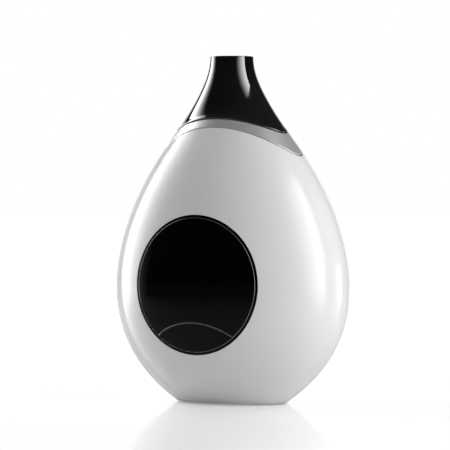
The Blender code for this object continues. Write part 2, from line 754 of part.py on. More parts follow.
def make_air_riser():
    low = TANK_INSIDE + TOUCH_GAP
    foot = low + RISER_FOOT_THICKNESS
    profile = [
        (RISER_RADIUS, RISER_TOP),
        (RISER_RADIUS, foot),
        (RISER_FOOT_RADIUS, foot),
        (RISER_FOOT_RADIUS, low),
        (RISER_RADIUS - RISER_WALL, low),
        (RISER_RADIUS - RISER_WALL, RISER_TOP),
    ]
    turned("air_riser", profile, TANK_CLEAR, (FAN_X, RISER_Y, 0.0), closed=True)


def make_level_float():
    bore = FLOAT_POST_RADIUS + FLOAT_BORE_GAP
    profile = [
        (FLOAT_RADIUS - FLOAT_CHAMFER, FLOAT_HEIGHT),
        (FLOAT_RADIUS, FLOAT_HEIGHT - FLOAT_CHAMFER),
        (FLOAT_RADIUS, FLOAT_CHAMFER),
        (FLOAT_RADIUS - FLOAT_CHAMFER, 0.0),
        (bore, 0.0),
        (bore, FLOAT_HEIGHT),
    ]
    turned("level_float", profile, WHITE_MATT, (FLOAT_X, FLOAT_Y, FLOAT_REST), closed=True)
    cap_bore = FLOAT_POST_RADIUS + TOUCH_GAP
    profile = [
        (FLOAT_CAP_RADIUS, FLOAT_CAP_THICKNESS),
        (FLOAT_CAP_RADIUS, 0.0),
        (cap_bore, 0.0),
        (cap_bore, FLOAT_CAP_THICKNESS),
    ]
    turned("float_cap", profile, WHITE_MATT, (FLOAT_X, FLOAT_Y, FLOAT_CAP_LOW), closed=True, sides=16)
    reed_place = (FLOAT_X, FLOAT_Y, TANK_FLOOR + REED_LENGTH / 2 + TINY)
    cylinder("reed_switch", REED_RADIUS, REED_LENGTH, reed_place, BLACK_MATT, sides=8)


# ---- Transducer ------------------------------------------------------------------------------------
def screw(name, place, grip, turn=(0.0, 0.0, 0.0)):
    """A pan head screw. Its origin is under the head, and the shank points along its own +Z."""
    profile = [
        (0.0, grip),
        (SCREW_RADIUS, grip),
        (SCREW_RADIUS, 0.0),
        (SCREW_HEAD_RADIUS, 0.0),
        (SCREW_HEAD_RADIUS * 0.8, -SCREW_HEAD_HEIGHT),
        (0.0, -SCREW_HEAD_HEIGHT),
    ]
    return turned(name, profile, STEEL, place, turn, sides=SMALL_SIDES)


def make_transducer():
    seal_low = CLAMP_TOP + TOUCH_GAP
    groove_low = seal_low + (SEAL_THICKNESS - DISC_THICKNESS) / 2 - TOUCH_GAP
    groove_high = groove_low + DISC_THICKNESS + 2 * TOUCH_GAP
    lip = DISC_RADIUS - SEAL_LIP
    groove = DISC_RADIUS + TOUCH_GAP
    profile = [
        (SEAL_RADIUS, seal_low + SEAL_THICKNESS),
        (SEAL_RADIUS, seal_low),
        (lip, seal_low),
        (lip, groove_low),
        (groove, groove_low),
        (groove, groove_high),
        (lip, groove_high),
        (lip, seal_low + SEAL_THICKNESS),
    ]
    turned("transducer_seal", profile, SILICONE, closed=True)
    disc_place = (0.0, 0.0, groove_low + TOUCH_GAP + DISC_THICKNESS / 2)
    cylinder("transducer_disc", DISC_RADIUS, DISC_THICKNESS, disc_place, CERAMIC, sides=ROUND_SIDES)
    profile = [
        (CLAMP_RADIUS, CLAMP_TOP),
        (CLAMP_RADIUS, CLAMP_TOP - CLAMP_THICKNESS),
        (lip, CLAMP_TOP - CLAMP_THICKNESS),
        (lip, CLAMP_TOP),
    ]
    clamp = turned("transducer_clamp", profile, ALUMINIUM, closed=True)
    hole = SCREW_RADIUS + SCREW_CLEARANCE
    through = 3 * CLAMP_THICKNESS
    for number, (x, y) in enumerate(CLAMP_PLACES, 1):
        cut(clamp, cylinder(f"clamp_hole_{number}", hole, through, (x, y, CLAMP_TOP)))
        head = CLAMP_TOP - CLAMP_THICKNESS - TOUCH_GAP
        screw(f"clamp_screw_{number}", (x, y, head), CLAMP_THICKNESS + SCREW_BITE)


# ---- Base plate, feet and driver board ---------------------------------------------------------------
STANDOFF_PLACES = [(x * STANDOFF_X, y * STANDOFF_Y) for x in (-1, 1) for y in (-1, 1)]
BOARD_TOP = DRIVER_BOARD_HEIGHT + BOARD_THICKNESS
HEAD_POCKET = SCREW_HEAD_HEIGHT + TOUCH_GAP


def make_base():
    plate = inner_drop("base_plate", SHELL_WALL + BASE_GAP, BLACK_MATT)
    slab = box("base_slab", (FAR, FAR, BASE_THICKNESS), (0.0, 0.0, FOOT_LIFT + BASE_THICKNESS / 2))
    keep(plate, slab)
    hole = SCREW_RADIUS + SCREW_CLEARANCE
    for number, (x, y) in enumerate(STANDOFF_PLACES, 1):
        low = FOOT_LIFT + BASE_THICKNESS / 2
        high = DRIVER_BOARD_HEIGHT - TOUCH_GAP
        join(plate, cylinder(f"standoff_{number}", STANDOFF_RADIUS, high - low, (x, y, (high + low) / 2)))
        cut(plate, cylinder(f"standoff_bore_{number}", hole, 2 * STANDOFF_BORE_DEPTH, (x, y, high)))
    for number, (x, y) in enumerate(POST_PLACES, 1):
        cut(plate, cylinder(f"base_hole_{number}", hole, 4 * BASE_THICKNESS, (x, y, FOOT_LIFT)))
        pocket = 2 * HEAD_POCKET
        pocket_radius = SCREW_HEAD_RADIUS + TOUCH_GAP
        cut(plate, cylinder(f"base_pocket_{number}", pocket_radius, pocket, (x, y, FOOT_LIFT)))
        head = FOOT_LIFT + HEAD_POCKET - TOUCH_GAP
        screw(f"base_screw_{number}", (x, y, head), SCREW_GRIP)
    feet = [(x * FOOT_X, y * FOOT_Y) for x in (-1, 1) for y in (-1, 1)]
    for number, (x, y) in enumerate(feet, 1):
        sink = 2 * (FOOT_SINK + TOUCH_GAP)
        pocket_radius = FOOT_RADIUS + TOUCH_GAP
        cut(plate, cylinder(f"foot_pocket_{number}", pocket_radius, sink, (x, y, FOOT_LIFT), sides=16))
        thick = FOOT_LIFT + FOOT_SINK
        cylinder(f"rubber_foot_{number}", FOOT_RADIUS, thick, (x, y, thick / 2), RUBBER, sides=16)


def make_driver_board():
    size = (DRIVER_BOARD_X, DRIVER_BOARD_Y, BOARD_THICKNESS)
    board = box("driver_board", size, (0.0, 0.0, BOARD_TOP - BOARD_THICKNESS / 2), BOARD_GREEN)
    head_down = (math.radians(180), 0.0, 0.0)
    hole = SCREW_RADIUS + SCREW_CLEARANCE
    grip = BOARD_THICKNESS + SCREW_BITE
    for number, (x, y) in enumerate(STANDOFF_PLACES, 1):
        cut(board, cylinder(f"board_hole_{number}", hole, 4 * BOARD_THICKNESS, (x, y, BOARD_TOP)))
        screw(f"board_screw_{number}", (x, y, BOARD_TOP + TOUCH_GAP), grip, head_down)
    seat = BOARD_TOP + TOUCH_GAP
    place = (*TRANSFORMER_PLACE, seat + TRANSFORMER_SIZE[2] / 2)
    box("board_transformer", TRANSFORMER_SIZE, place, BLACK_MATT, bevel=0.0010)
    profile = [
        (0.0, CAPACITOR_HEIGHT),
        (CAPACITOR_RADIUS - CAPACITOR_EDGE, CAPACITOR_HEIGHT),
        (CAPACITOR_RADIUS, CAPACITOR_HEIGHT - CAPACITOR_EDGE),
        (CAPACITOR_RADIUS, 0.0),
        (0.0, 0.0),
    ]
    turned("board_capacitor", profile, BLACK_MATT, (0.0, CAPACITOR_Y, seat), sides=16)
    make_heat_sink(seat)


def make_heat_sink(seat):
    """A comb of fins on one plate, cut from a block."""
    long, deep, tall = HEAT_SINK_SIZE
    centre = (*HEAT_SINK_PLACE, seat + tall / 2)
    sink = box("board_heat_sink", HEAT_SINK_SIZE, centre, ALUMINIUM)
    pitch = long / HEAT_SINK_FINS
    for number in range(HEAT_SINK_FINS):
        place = (centre[0] - long / 2 + pitch * (number + 0.5), centre[1] - HEAT_SINK_BACK, centre[2])
        cut(sink, box(f"sink_groove_{number + 1}", (pitch * GROOVE_SHARE, deep, tall * 2), place))


# ---- Fan, duct and filter ------------------------------------------------------------------------
def make_fan():
    centre = (FAN_X, FAN_Y, FAN_HEIGHT)
    front = FAN_Y - FAN_DEPTH / 2
    frame = box("fan_frame", (FAN_SIZE, FAN_DEPTH, FAN_SIZE), centre, BLACK_MATT)
    cut(frame, cylinder("fan_bore", FAN_BORE, 0.1, centre, turn=ALONG_Y, sides=ROUND_SIDES))
    hub_place = (FAN_X, front + FAN_HUB_PLATE / 2, FAN_HEIGHT)
    join(frame, cylinder("fan_hub_plate", FAN_HUB_RADIUS, FAN_HUB_PLATE, hub_place, turn=ALONG_Y, sides=16))
    start, end = FAN_HUB_RADIUS / 2, FAN_BORE + FAN_RIM / 3
    for number in range(FAN_STRUTS):
        angle = math.radians(90) + 2 * math.pi * number / FAN_STRUTS
        middle = (start + end) / 2
        place = (FAN_X + middle * math.cos(angle), hub_place[1], FAN_HEIGHT - middle * math.sin(angle))
        size = (end - start, FAN_HUB_PLATE * 0.8, FAN_STRUT_WIDTH)
        join(frame, box(f"fan_strut_{number + 1}", size, place, turn=(0.0, angle, 0.0)))
    hub_long = FAN_DEPTH - FAN_HUB_PLATE - 2 * FAN_HUB_GAP
    hub_y = front + FAN_HUB_PLATE + FAN_HUB_GAP + hub_long / 2
    hub_place = (FAN_X, hub_y, FAN_HEIGHT)
    impeller = cylinder("fan_impeller", FAN_HUB_RADIUS, hub_long, hub_place, BLACK_MATT, ALONG_Y, sides=16)
    tip = FAN_BORE - FAN_TIP_GAP
    root = FAN_HUB_RADIUS * 0.85
    for number in range(FAN_BLADES):
        angle = 2 * math.pi * number / FAN_BLADES
        middle = (tip + root) / 2 - TOUCH_GAP
        place = (FAN_X + middle * math.cos(angle), hub_y, FAN_HEIGHT - middle * math.sin(angle))
        blade = box(f"fan_blade_{number + 1}", (tip - root, FAN_BLADE_THICKNESS, FAN_BLADE_CHORD), place)
        spoke = Matrix.Rotation(angle, 3, "Y") @ Matrix.Rotation(FAN_BLADE_PITCH, 3, "X")
        blade.rotation_euler = spoke.to_euler()
        join(impeller, blade)


def duct_line(extra):
    """The bent centre line from the fan to the tank floor, with both ends this much longer."""
    start = Vector((FAN_X, DUCT_PLATE_Y, FAN_HEIGHT))
    points = [start + Vector((0.0, extra, 0.0))]
    steps = 6
    for step in range(steps + 1):
        angle = math.pi / 2 * step / steps
        y = RISER_Y + DUCT_BEND - DUCT_BEND * math.sin(angle)
        z = FAN_HEIGHT + DUCT_BEND - DUCT_BEND * math.cos(angle)
        points.append(Vector((FAN_X, y, z)))
    points.append(Vector((FAN_X, RISER_Y, TANK_FLOOR - TOUCH_GAP + extra)))
    return points


def make_air_duct():
    size = (FAN_SIZE, DUCT_PLATE, FAN_SIZE)
    duct = box("air_duct", size, (FAN_X, DUCT_PLATE_Y, FAN_HEIGHT), WHITE_MATT)
    join(duct, as_mesh(tube("duct_outside", duct_line(0.0), RISER_RADIUS, resolution=4)))
    cut(duct, as_mesh(tube("duct_inside", duct_line(DUCT_OVERRUN), RISER_RADIUS - RISER_WALL, resolution=4)))


def make_filter():
    stations = stations_between(station_at(FILTER_LOW * 0.5), station_at(FILTER_LOW + FILTER_HEIGHT * 1.4), 7)
    centre = (FAN_X, REAR_CORNER, FAN_HEIGHT)
    cover = skin("filter_cover", stations, PANEL_INSET, FILTER_COVER_WALL, WHITE_GLOSS)
    keep(cover, box("cover_edge", (FILTER_WIDTH, HOLE_DEPTH, FILTER_HEIGHT), centre))
    tray_size = (FILTER_WIDTH - TRAY_MARGIN, HOLE_DEPTH / 2, FILTER_HEIGHT - TRAY_MARGIN)
    tray_start = FAN_BACK + TOUCH_GAP + FILTER_SEAT
    tray = box("filter_tray", tray_size, (FAN_X, tray_start + HOLE_DEPTH / 4, FAN_HEIGHT))
    inside = (tray_size[0] - 2 * FILTER_TRAY_WALL, HOLE_DEPTH, tray_size[2] - 2 * FILTER_TRAY_WALL)
    cut(tray, box("filter_tray_inside", inside, centre))
    keep(tray, inner_drop("filter_tray_end", PANEL_INSET + FILTER_COVER_WALL / 2))
    join(cover, tray)
    for number in range(VENT_SLOTS):
        z = FAN_HEIGHT + VENT_PITCH * (number - (VENT_SLOTS - 1) / 2)
        slot = (inside[0] - VENT_MARGIN, HOLE_DEPTH, VENT_WIDTH)
        cut(cover, box(f"vent_slot_{number + 1}", slot, (FAN_X, REAR_CORNER, z)))
    set_origin(cover, centre)
    foam = (inside[0] - 2 * FILTER_GAP, FILTER_THICKNESS, inside[2] - 2 * FILTER_GAP)
    box("air_filter", foam, (FAN_X, tray_start + FILTER_SEAT + FILTER_THICKNESS / 2, FAN_HEIGHT), FOAM)


# ---- Mains inlet ----------------------------------------------------------------------------------
def make_inlet():
    turn = (-INLET_TILT, 0.0, 0.0)
    size = (INLET_WIDTH, INLET_DEEP, INLET_TALL)
    socket = box("inlet_socket", size, inlet_place(INLET_DEEP / 2), BLACK_MATT, turn)
    radius = INLET_MOUTH_HEIGHT / 2
    straight = INLET_MOUTH_WIDTH / 2 - radius
    outline = []
    steps = 16
    for step in range(steps + 1):
        angle = math.pi * step / steps - math.pi / 2
        outline.append((straight + radius * math.cos(angle), radius * math.sin(angle)))
    outline += [(-x, -y) for x, y in outline]
    mouth = prism("inlet_mouth", outline, 2 * INLET_MOUTH_DEPTH)
    mouth.location = inlet_place(0.0)
    mouth.rotation_euler = turn
    cut(socket, mouth)
    length = INLET_MOUTH_DEPTH - TINY
    for number, side in enumerate((-1, 1), 1):
        place = Vector(inlet_place(INLET_MOUTH_DEPTH - TOUCH_GAP - length / 2))
        place.x += side * INLET_PIN_PITCH / 2
        pin_turn = (math.radians(90) - INLET_TILT, 0.0, 0.0)
        cylinder(f"inlet_pin_{number}", INLET_PIN_RADIUS, length, place, BRASS, pin_turn, sides=SMALL_SIDES)


# ---- Front panel -----------------------------------------------------------------------------------
PANEL_STATIONS = stations_between(
    station_at(PANEL_HEIGHT - PANEL_RADIUS - PANEL_REACH),
    station_at(PANEL_HEIGHT + PANEL_RADIUS + PANEL_REACH),
    8,
)
LENS_RADIUS = PANEL_RADIUS - RIM_WIDTH - TOUCH_GAP
BUTTON_ARC_CENTRE = PANEL_HEIGHT - PANEL_RADIUS + BUTTON_ARC_CREST - BUTTON_ARC_RADIUS
DISPLAY_BOARD_LOW = PANEL_HEIGHT - PANEL_RADIUS + DISPLAY_BOARD_MARGIN
DISPLAY_BOARD_HIGH = PANEL_HEIGHT + DISPLAY_BOARD_RISE
BOSS_HEIGHTS = (DISPLAY_BOARD_LOW + DISPLAY_BOSS_RISE, DISPLAY_BOARD_HIGH - DISPLAY_BOSS_DROP)
BOSS_PLACES = [(x * DISPLAY_BOSS_X, z) for x in (-1, 1) for z in BOSS_HEIGHTS]


def y_bar(name, radius, x, height, outer, inner, material=None, sides=SMALL_SIDES):
    """A round bar along Y in front of the middle plane, between two distances from it."""
    return cylinder(name, radius, outer - inner, (x, -(outer + inner) / 2, height), material, ALONG_Y, sides)


def make_fascia_bezel():
    dish = skin("fascia_bezel", PANEL_STATIONS, BEZEL_DEPTH, BEZEL_THICKNESS, BLACK_GLOSS)
    keep(dish, front_cylinder("bezel_edge", BEZEL_EDGE, PANEL_SIDES))
    rim = skin("bezel_rim", PANEL_STATIONS, PANEL_INSET, BEZEL_DEPTH + BEZEL_THICKNESS / 2)
    keep(rim, front_cylinder("rim_outside", PANEL_RADIUS, PANEL_SIDES))
    cut(rim, front_cylinder("rim_inside", PANEL_RADIUS - RIM_WIDTH, PANEL_SIDES))
    join(dish, rim)
    window = (WINDOW_WIDTH, HALF_DEPTH, WINDOW_HEIGHT)
    window_place = (0.0, -HALF_DEPTH, PANEL_HEIGHT + WINDOW_RISE)
    cut(dish, box("bezel_window", window, window_place))
    plunger_hole = BUTTON_PLUNGER_RADIUS + PLUNGER_HOLE_GAP
    cut(dish, front_cylinder("plunger_hole", plunger_hole, 16, height=PLUNGER_HEIGHT))
    for number, (x, z) in enumerate(BOSS_PLACES, 1):
        outer = surface_y(x, z) - BEZEL_DEPTH - BEZEL_THICKNESS / 2
        inner = BOARD_FRONT + TOUCH_GAP
        join(dish, y_bar(f"bezel_boss_{number}", BOSS_RADIUS, x, z, outer, inner))
        bore = SCREW_RADIUS + SCREW_CLEARANCE
        cut(dish, y_bar(f"bezel_bore_{number}", bore, x, z, inner + BOSS_BORE_DEPTH, inner - BOSS_BORE_DEPTH))


def make_fascia_lens():
    lens = skin("fascia_lens", PANEL_STATIONS, LENS_INSET, LENS_THICKNESS, BLACK_GLOSS)
    keep(lens, front_cylinder("lens_edge", LENS_RADIUS, PANEL_SIDES))
    arc = front_cylinder("lens_arc", BUTTON_ARC_RADIUS + BUTTON_SPLIT / 2, 72, height=BUTTON_ARC_CENTRE)
    cut(lens, arc)


def make_control_button():
    button = skin("control_button", PANEL_STATIONS, LENS_INSET, BUTTON_THICKNESS, BLACK_GLOSS)
    keep(button, front_cylinder("button_edge", LENS_RADIUS, PANEL_SIDES))
    arc = front_cylinder("button_arc", BUTTON_ARC_RADIUS - BUTTON_SPLIT / 2, 72, height=BUTTON_ARC_CENTRE)
    keep(button, arc)
    outer = surface_y(0.0, PLUNGER_HEIGHT) - LENS_INSET - BUTTON_THICKNESS / 2
    inner = BOARD_FRONT + TOUCH_GAP + SWITCH_DEEP + BUTTON_TRAVEL + TOUCH_GAP
    join(button, y_bar("button_plunger", BUTTON_PLUNGER_RADIUS, 0.0, PLUNGER_HEIGHT, outer, inner))
    set_origin(button, (0.0, -outer, PLUNGER_HEIGHT))


def make_display_board():
    tall = DISPLAY_BOARD_HIGH - DISPLAY_BOARD_LOW
    size = (DISPLAY_BOARD_WIDTH, BOARD_THICKNESS, tall)
    place = (0.0, -BOARD_FRONT + BOARD_THICKNESS / 2, DISPLAY_BOARD_LOW + tall / 2)
    board = box("display_board", size, place, BOARD_GREEN)
    back = BOARD_FRONT - BOARD_THICKNESS
    for number, (x, z) in enumerate(BOSS_PLACES, 1):
        bore = SCREW_RADIUS + SCREW_CLEARANCE
        cut(board, y_bar(f"display_hole_{number}", bore, x, z, BOARD_FRONT + TINY, back - TINY))
        screw(f"display_screw_{number}", (x, -back + TOUCH_GAP, z), BOARD_THICKNESS + SCREW_BITE, ALONG_Y)
    seat = BOARD_FRONT + TOUCH_GAP
    size = (MODULE_WIDTH, MODULE_DEPTH, MODULE_HEIGHT)
    place = (0.0, -seat - MODULE_DEPTH / 2, PANEL_HEIGHT + WINDOW_RISE)
    box("display_module", size, place, BLACK_MATT, bevel=0.0006)
    size = (SWITCH_SIZE, SWITCH_DEEP, SWITCH_SIZE)
    box("button_switch", size, (0.0, -seat - size[1] / 2, PLUNGER_HEIGHT), BLACK_MATT)


# ---- Leads inside the base ---------------------------------------------------------------------------
def smooth_line(points, steps=4):
    """Points on a smooth curve through these places."""
    places = [Vector(point) for point in points]
    places = [places[0] * 2 - places[1]] + places + [places[-1] * 2 - places[-2]]
    line = []
    for before, start, end, after in zip(places, places[1:], places[2:], places[3:]):
        for step in range(steps):
            t = step / steps
            line.append(
                0.5 * (2 * start + (end - before) * t + (2 * before - 5 * start + 4 * end - after) * t * t
                       + (3 * start - 3 * end + after - before) * t**3)
            )
    line.append(places[-2])
    return line


def make_leads():
    board = BOARD_TOP + LEAD_RADIUS + TOUCH_GAP
    back = -BOARD_FRONT + BOARD_THICKNESS + LEAD_RADIUS + TOUCH_GAP
    inlet_back = Vector(inlet_place(INLET_DEEP + LEAD_RADIUS + TINY))
    clamp_low = CLAMP_TOP - CLAMP_THICKNESS
    fan_low = FAN_HEIGHT - FAN_SIZE / 2
    routes = {
        "display_lead": [
            (0.0, back, DISPLAY_BOARD_LOW + TINY), (0.0, back + 0.004, 0.045), (0.0, -0.034, 0.022),
            (0.0, -0.0190, board),
        ],
        "fan_lead": [
            (FAN_X + 0.006, FAN_Y, fan_low - LEAD_RADIUS - TOUCH_GAP), (FAN_X + 0.008, FAN_Y - 0.006, 0.020),
            (FAN_X + 0.010, 0.0175, board),
        ],
        "transducer_lead": [
            (0.004, 0.0, clamp_low - TINY), (-0.001, 0.002, 0.046), (-0.004, 0.006, 0.030),
            (-0.004, 0.008, board),
        ],
        "inlet_lead": [
            tuple(inlet_back), (INLET_X - 0.001, inlet_back.y - 0.010, 0.038), (INLET_X, 0.019, 0.026),
            (INLET_X + 0.001, 0.004, board),
        ],
        "sensor_lead": [
            (FLOAT_X, FLOAT_Y, TANK_FLOOR - TINY), (FLOAT_X + 0.002, 0.008, 0.045),
            (FLOAT_X - 0.002, 0.000, 0.026), (FLOAT_X - 0.004, -0.006, board),
        ],
    }
    for name, points in routes.items():
        tube(name, smooth_line(points), LEAD_RADIUS, LEAD_GREY, resolution=1)


make_outer_shell()
make_top_collar()
make_nozzle()
make_nozzle_funnel()
make_water_tank()
make_tank_floor()
make_mist_chimney()
make_air_riser()
make_level_float()
make_transducer()
make_base()
make_driver_board()
make_fan()
make_air_duct()
make_filter()
make_inlet()
make_fascia_bezel()
make_fascia_lens()
make_control_button()
make_display_board()
make_leads()
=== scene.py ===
import math

import bpy
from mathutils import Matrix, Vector


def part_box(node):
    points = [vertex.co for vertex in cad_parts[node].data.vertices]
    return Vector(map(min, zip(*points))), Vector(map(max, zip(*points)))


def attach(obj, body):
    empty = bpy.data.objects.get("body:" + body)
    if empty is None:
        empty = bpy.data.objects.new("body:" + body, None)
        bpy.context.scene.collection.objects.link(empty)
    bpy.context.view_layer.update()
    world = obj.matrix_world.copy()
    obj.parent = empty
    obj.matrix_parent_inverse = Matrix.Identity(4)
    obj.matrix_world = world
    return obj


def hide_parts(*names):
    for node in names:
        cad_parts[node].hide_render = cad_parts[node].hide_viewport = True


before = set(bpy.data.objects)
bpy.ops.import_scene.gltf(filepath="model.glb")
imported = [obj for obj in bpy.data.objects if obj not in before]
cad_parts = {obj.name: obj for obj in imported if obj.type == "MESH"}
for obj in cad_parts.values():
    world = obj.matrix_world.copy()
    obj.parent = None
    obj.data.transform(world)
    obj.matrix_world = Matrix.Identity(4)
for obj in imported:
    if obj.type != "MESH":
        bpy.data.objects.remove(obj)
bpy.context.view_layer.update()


# ---- The set: a white acrylic table in a white room, a camera a little above the middle, two tall
# softboxes and a low one. The left one stands behind the object and the right one beside the
# camera, so the front between them stays a calm grey; the low one lights the collar's right tip.
CAMERA_TURN = math.radians(30)
CAMERA_DISTANCE = 3.0
CAMERA_HEIGHT = 0.2275
AIM_HEIGHT = 0.1793
AIM_LEFT = 0.0070
FOCAL_LENGTH = 236.7
toward_camera = Vector((math.sin(CAMERA_TURN), -math.cos(CAMERA_TURN), 0.0))
camera_right = Vector((math.cos(CAMERA_TURN), math.sin(CAMERA_TURN), 0.0))

bpy.ops.object.select_all(action="DESELECT")
aim = Vector((0.0, 0.0, AIM_HEIGHT)) - camera_right * AIM_LEFT
stand = toward_camera * CAMERA_DISTANCE - camera_right * AIM_LEFT + Vector((0.0, 0.0, CAMERA_HEIGHT))
bpy.ops.object.camera_add(location=stand)
camera = bpy.context.active_object
camera.rotation_mode = "QUATERNION"
camera.rotation_quaternion = (aim - stand).to_track_quat("-Z", "Y")
camera.data.lens = FOCAL_LENGTH
camera.data.sensor_width = 36.0
camera.data.clip_end = 60.0
bpy.context.scene.camera = camera
bpy.context.scene.view_settings.view_transform = "Standard"


def add_softbox(name, turn, distance, height, size, watts):
    """A rectangle of light, this many degrees to the right of the camera as the object sees it.

    It is brightest on the side away from the camera and fades towards the camera."""
    angle = math.radians(turn)
    place = (toward_camera * math.cos(angle) + camera_right * math.sin(angle)) * distance
    place.z = height
    bpy.ops.object.light_add(type="AREA", location=place)
    light = bpy.context.active_object
    light.name = name
    light.rotation_mode = "QUATERNION"
    light.rotation_quaternion = (Vector((0.0, 0.0, 0.17)) - place).to_track_quat("-Z", "Y")
    light.data.shape = "RECTANGLE"
    light.data.size, light.data.size_y = size
    light.data.energy = watts
    light.visible_camera = False
    light.data.use_nodes = True
    tree = light.data.node_tree
    over = tree.nodes.new("ShaderNodeNewGeometry")
    across = tree.nodes.new("ShaderNodeSeparateXYZ")
    fall = tree.nodes.new("ShaderNodeMapRange")
    fall.interpolation_type = "SMOOTHSTEP"
    fall.inputs["From Min"].default_value = 0.0 if turn > 0 else 1.0
    fall.inputs["From Max"].default_value = 1.0 if turn > 0 else 0.0
    fall.inputs["To Min"].default_value = SOFTBOX_DIM
    fall.inputs["To Max"].default_value = SOFTBOX_BRIGHT
    tree.links.new(over.outputs["Parametric"], across.inputs["Vector"])
    tree.links.new(across.outputs["X"], fall.inputs["Value"])
    tree.links.new(fall.outputs["Result"], tree.nodes["Emission"].inputs["Strength"])


SOFTBOX_DIM, SOFTBOX_BRIGHT = 0.03, 1.9


add_softbox("softbox_left", -114, 1.30, 0.55, (1.00, 1.50), 17.0)
add_softbox("softbox_right", 46, 1.25, 0.54, (1.10, 1.60), 15.5)
add_softbox("softbox_low", 98, 1.30, 0.10, (0.50, 0.40), 2.0)

world = bpy.data.worlds.new("white_room")
bpy.context.scene.world = world
world.use_nodes = True
room = world.node_tree
room.nodes.clear()
ROOM_BEHIND = 1.0
ROOM_FRONT = 0.03
ROOM_ABOVE = 0.05
ROOM_FILL = 0.31
out = room.nodes.new("ShaderNodeOutputWorld")
seen = room.nodes.new("ShaderNodeBackground")
seen.inputs["Color"].default_value = (1.0, 1.0, 1.0, 1.0)
light_room = room.nodes.new("ShaderNodeBackground")
rays = room.nodes.new("ShaderNodeLightPath")
pick = room.nodes.new("ShaderNodeMixShader")
room.links.new(rays.outputs["Is Camera Ray"], pick.inputs["Fac"])
room.links.new(light_room.outputs["Background"], pick.inputs[1])
room.links.new(seen.outputs["Background"], pick.inputs[2])
room.links.new(pick.outputs["Shader"], out.inputs["Surface"])
where = room.nodes.new("ShaderNodeTexCoord")
facing = room.nodes.new("ShaderNodeVectorMath")
facing.operation = "DOT_PRODUCT"
facing.inputs[1].default_value = -toward_camera
room.links.new(where.outputs["Generated"], facing.inputs[0])
behind = room.nodes.new("ShaderNodeMapRange")
behind.interpolation_type = "SMOOTHSTEP"
behind.inputs["From Min"].default_value = 0.80
behind.inputs["From Max"].default_value = 0.97
behind.inputs["To Min"].default_value = ROOM_FRONT
behind.inputs["To Max"].default_value = ROOM_BEHIND
room.links.new(facing.outputs["Value"], behind.inputs["Value"])
height_of = room.nodes.new("ShaderNodeSeparateXYZ")
room.links.new(where.outputs["Generated"], height_of.inputs["Vector"])
above = room.nodes.new("ShaderNodeMapRange")
above.interpolation_type = "SMOOTHSTEP"
above.inputs["From Min"].default_value = 0.25
above.inputs["From Max"].default_value = 0.95
above.inputs["To Min"].default_value = 0.0
above.inputs["To Max"].default_value = ROOM_ABOVE
room.links.new(height_of.outputs["Z"], above.inputs["Value"])
level = room.nodes.new("ShaderNodeMath")
level.operation = "ADD"
room.links.new(behind.outputs["Result"], level.inputs[0])
room.links.new(above.outputs["Result"], level.inputs[1])
fill = room.nodes.new("ShaderNodeMath")
fill.operation = "MULTIPLY_ADD"
fill.inputs[1].default_value = ROOM_FILL
room.links.new(rays.outputs["Is Diffuse Ray"], fill.inputs[0])
room.links.new(level.outputs["Value"], fill.inputs[2])
room.links.new(fill.outputs["Value"], light_room.inputs["Strength"])

bpy.ops.mesh.primitive_circle_add(vertices=96, radius=14.0, fill_type="NGON", location=(0.0, 0.0, 0.0))
table = bpy.context.active_object
table.name = "table_top"
acrylic = bpy.data.materials.new("white_acrylic")
acrylic.use_nodes = True
acrylic_shader = acrylic.node_tree.nodes["Principled BSDF"]
acrylic_shader.inputs["Base Color"].default_value = (0.86, 0.86, 0.86, 1.0)
acrylic_shader.inputs["Roughness"].default_value = 0.085
acrylic_shader.inputs["Emission Color"].default_value = (1.0, 1.0, 1.0, 1.0)
# Painted light: to the camera alone the table glows, weakly near the object and more strongly farther off, so
# it fades into the white room a little way from the object.
fade_where = acrylic.node_tree.nodes.new("ShaderNodeTexCoord")
fade_length = acrylic.node_tree.nodes.new("ShaderNodeVectorMath")
fade_length.operation = "LENGTH"
fade = acrylic.node_tree.nodes.new("ShaderNodeMapRange")
fade.interpolation_type = "SMOOTHSTEP"
fade.inputs["From Min"].default_value = 0.35
fade.inputs["From Max"].default_value = 2.20
fade.inputs["To Min"].default_value = 0.27
fade.inputs["To Max"].default_value = 0.80
fade_rays = acrylic.node_tree.nodes.new("ShaderNodeLightPath")
painted_glow_seen = acrylic.node_tree.nodes.new("ShaderNodeMath")
painted_glow_seen.operation = "MULTIPLY"
acrylic.node_tree.links.new(fade_where.outputs["Object"], fade_length.inputs[0])
acrylic.node_tree.links.new(fade_length.outputs["Value"], fade.inputs["Value"])
acrylic.node_tree.links.new(fade.outputs["Result"], painted_glow_seen.inputs[0])
acrylic.node_tree.links.new(fade_rays.outputs["Is Camera Ray"], painted_glow_seen.inputs[1])
acrylic.node_tree.links.new(painted_glow_seen.outputs["Value"], acrylic_shader.inputs["Emission Strength"])
table.data.materials.append(acrylic)


# ---- White housing: one injection-moulded drop of glossy ABS with a 3 mm wall, open at the base
# and at the saddle seam. It is pierced for the round panel, the filter cover and the mains inlet,
# and it clips down over the base plate.
TALL = 0.350
HALF_WIDE = 0.12755
HALF_DEEP = 0.0842
OUTLET_RADIUS = 0.0220
NECK_SHARE = OUTLET_RADIUS / HALF_WIDE
OUTLINE = (
    ((0.463, 0.0), (0.731, 0.064), (1.0, 0.168), (1.0, 0.327)),
    ((1.0, 0.327), (1.0, 0.343), (1.038, 0.515), (0.5485, 0.748)),
    ((0.5485, 0.748), (0.235, 0.898), (NECK_SHARE, 0.945), (NECK_SHARE, 1.0)),
)
LOWER_SEAM = (0.7934, 0.1929, 0.0456)
UPPER_SEAM = (0.8187, 0.1643, 0.0325)
SEAM_GAP = 0.0006
FIT_GAP = 0.0003
SHELL_WALL = 0.0030
BASE_LIFT = 0.0010
PANEL_RADIUS = 0.0695
PANEL_HEIGHT = 0.1207
EDGE_ANGLE = math.radians(32)


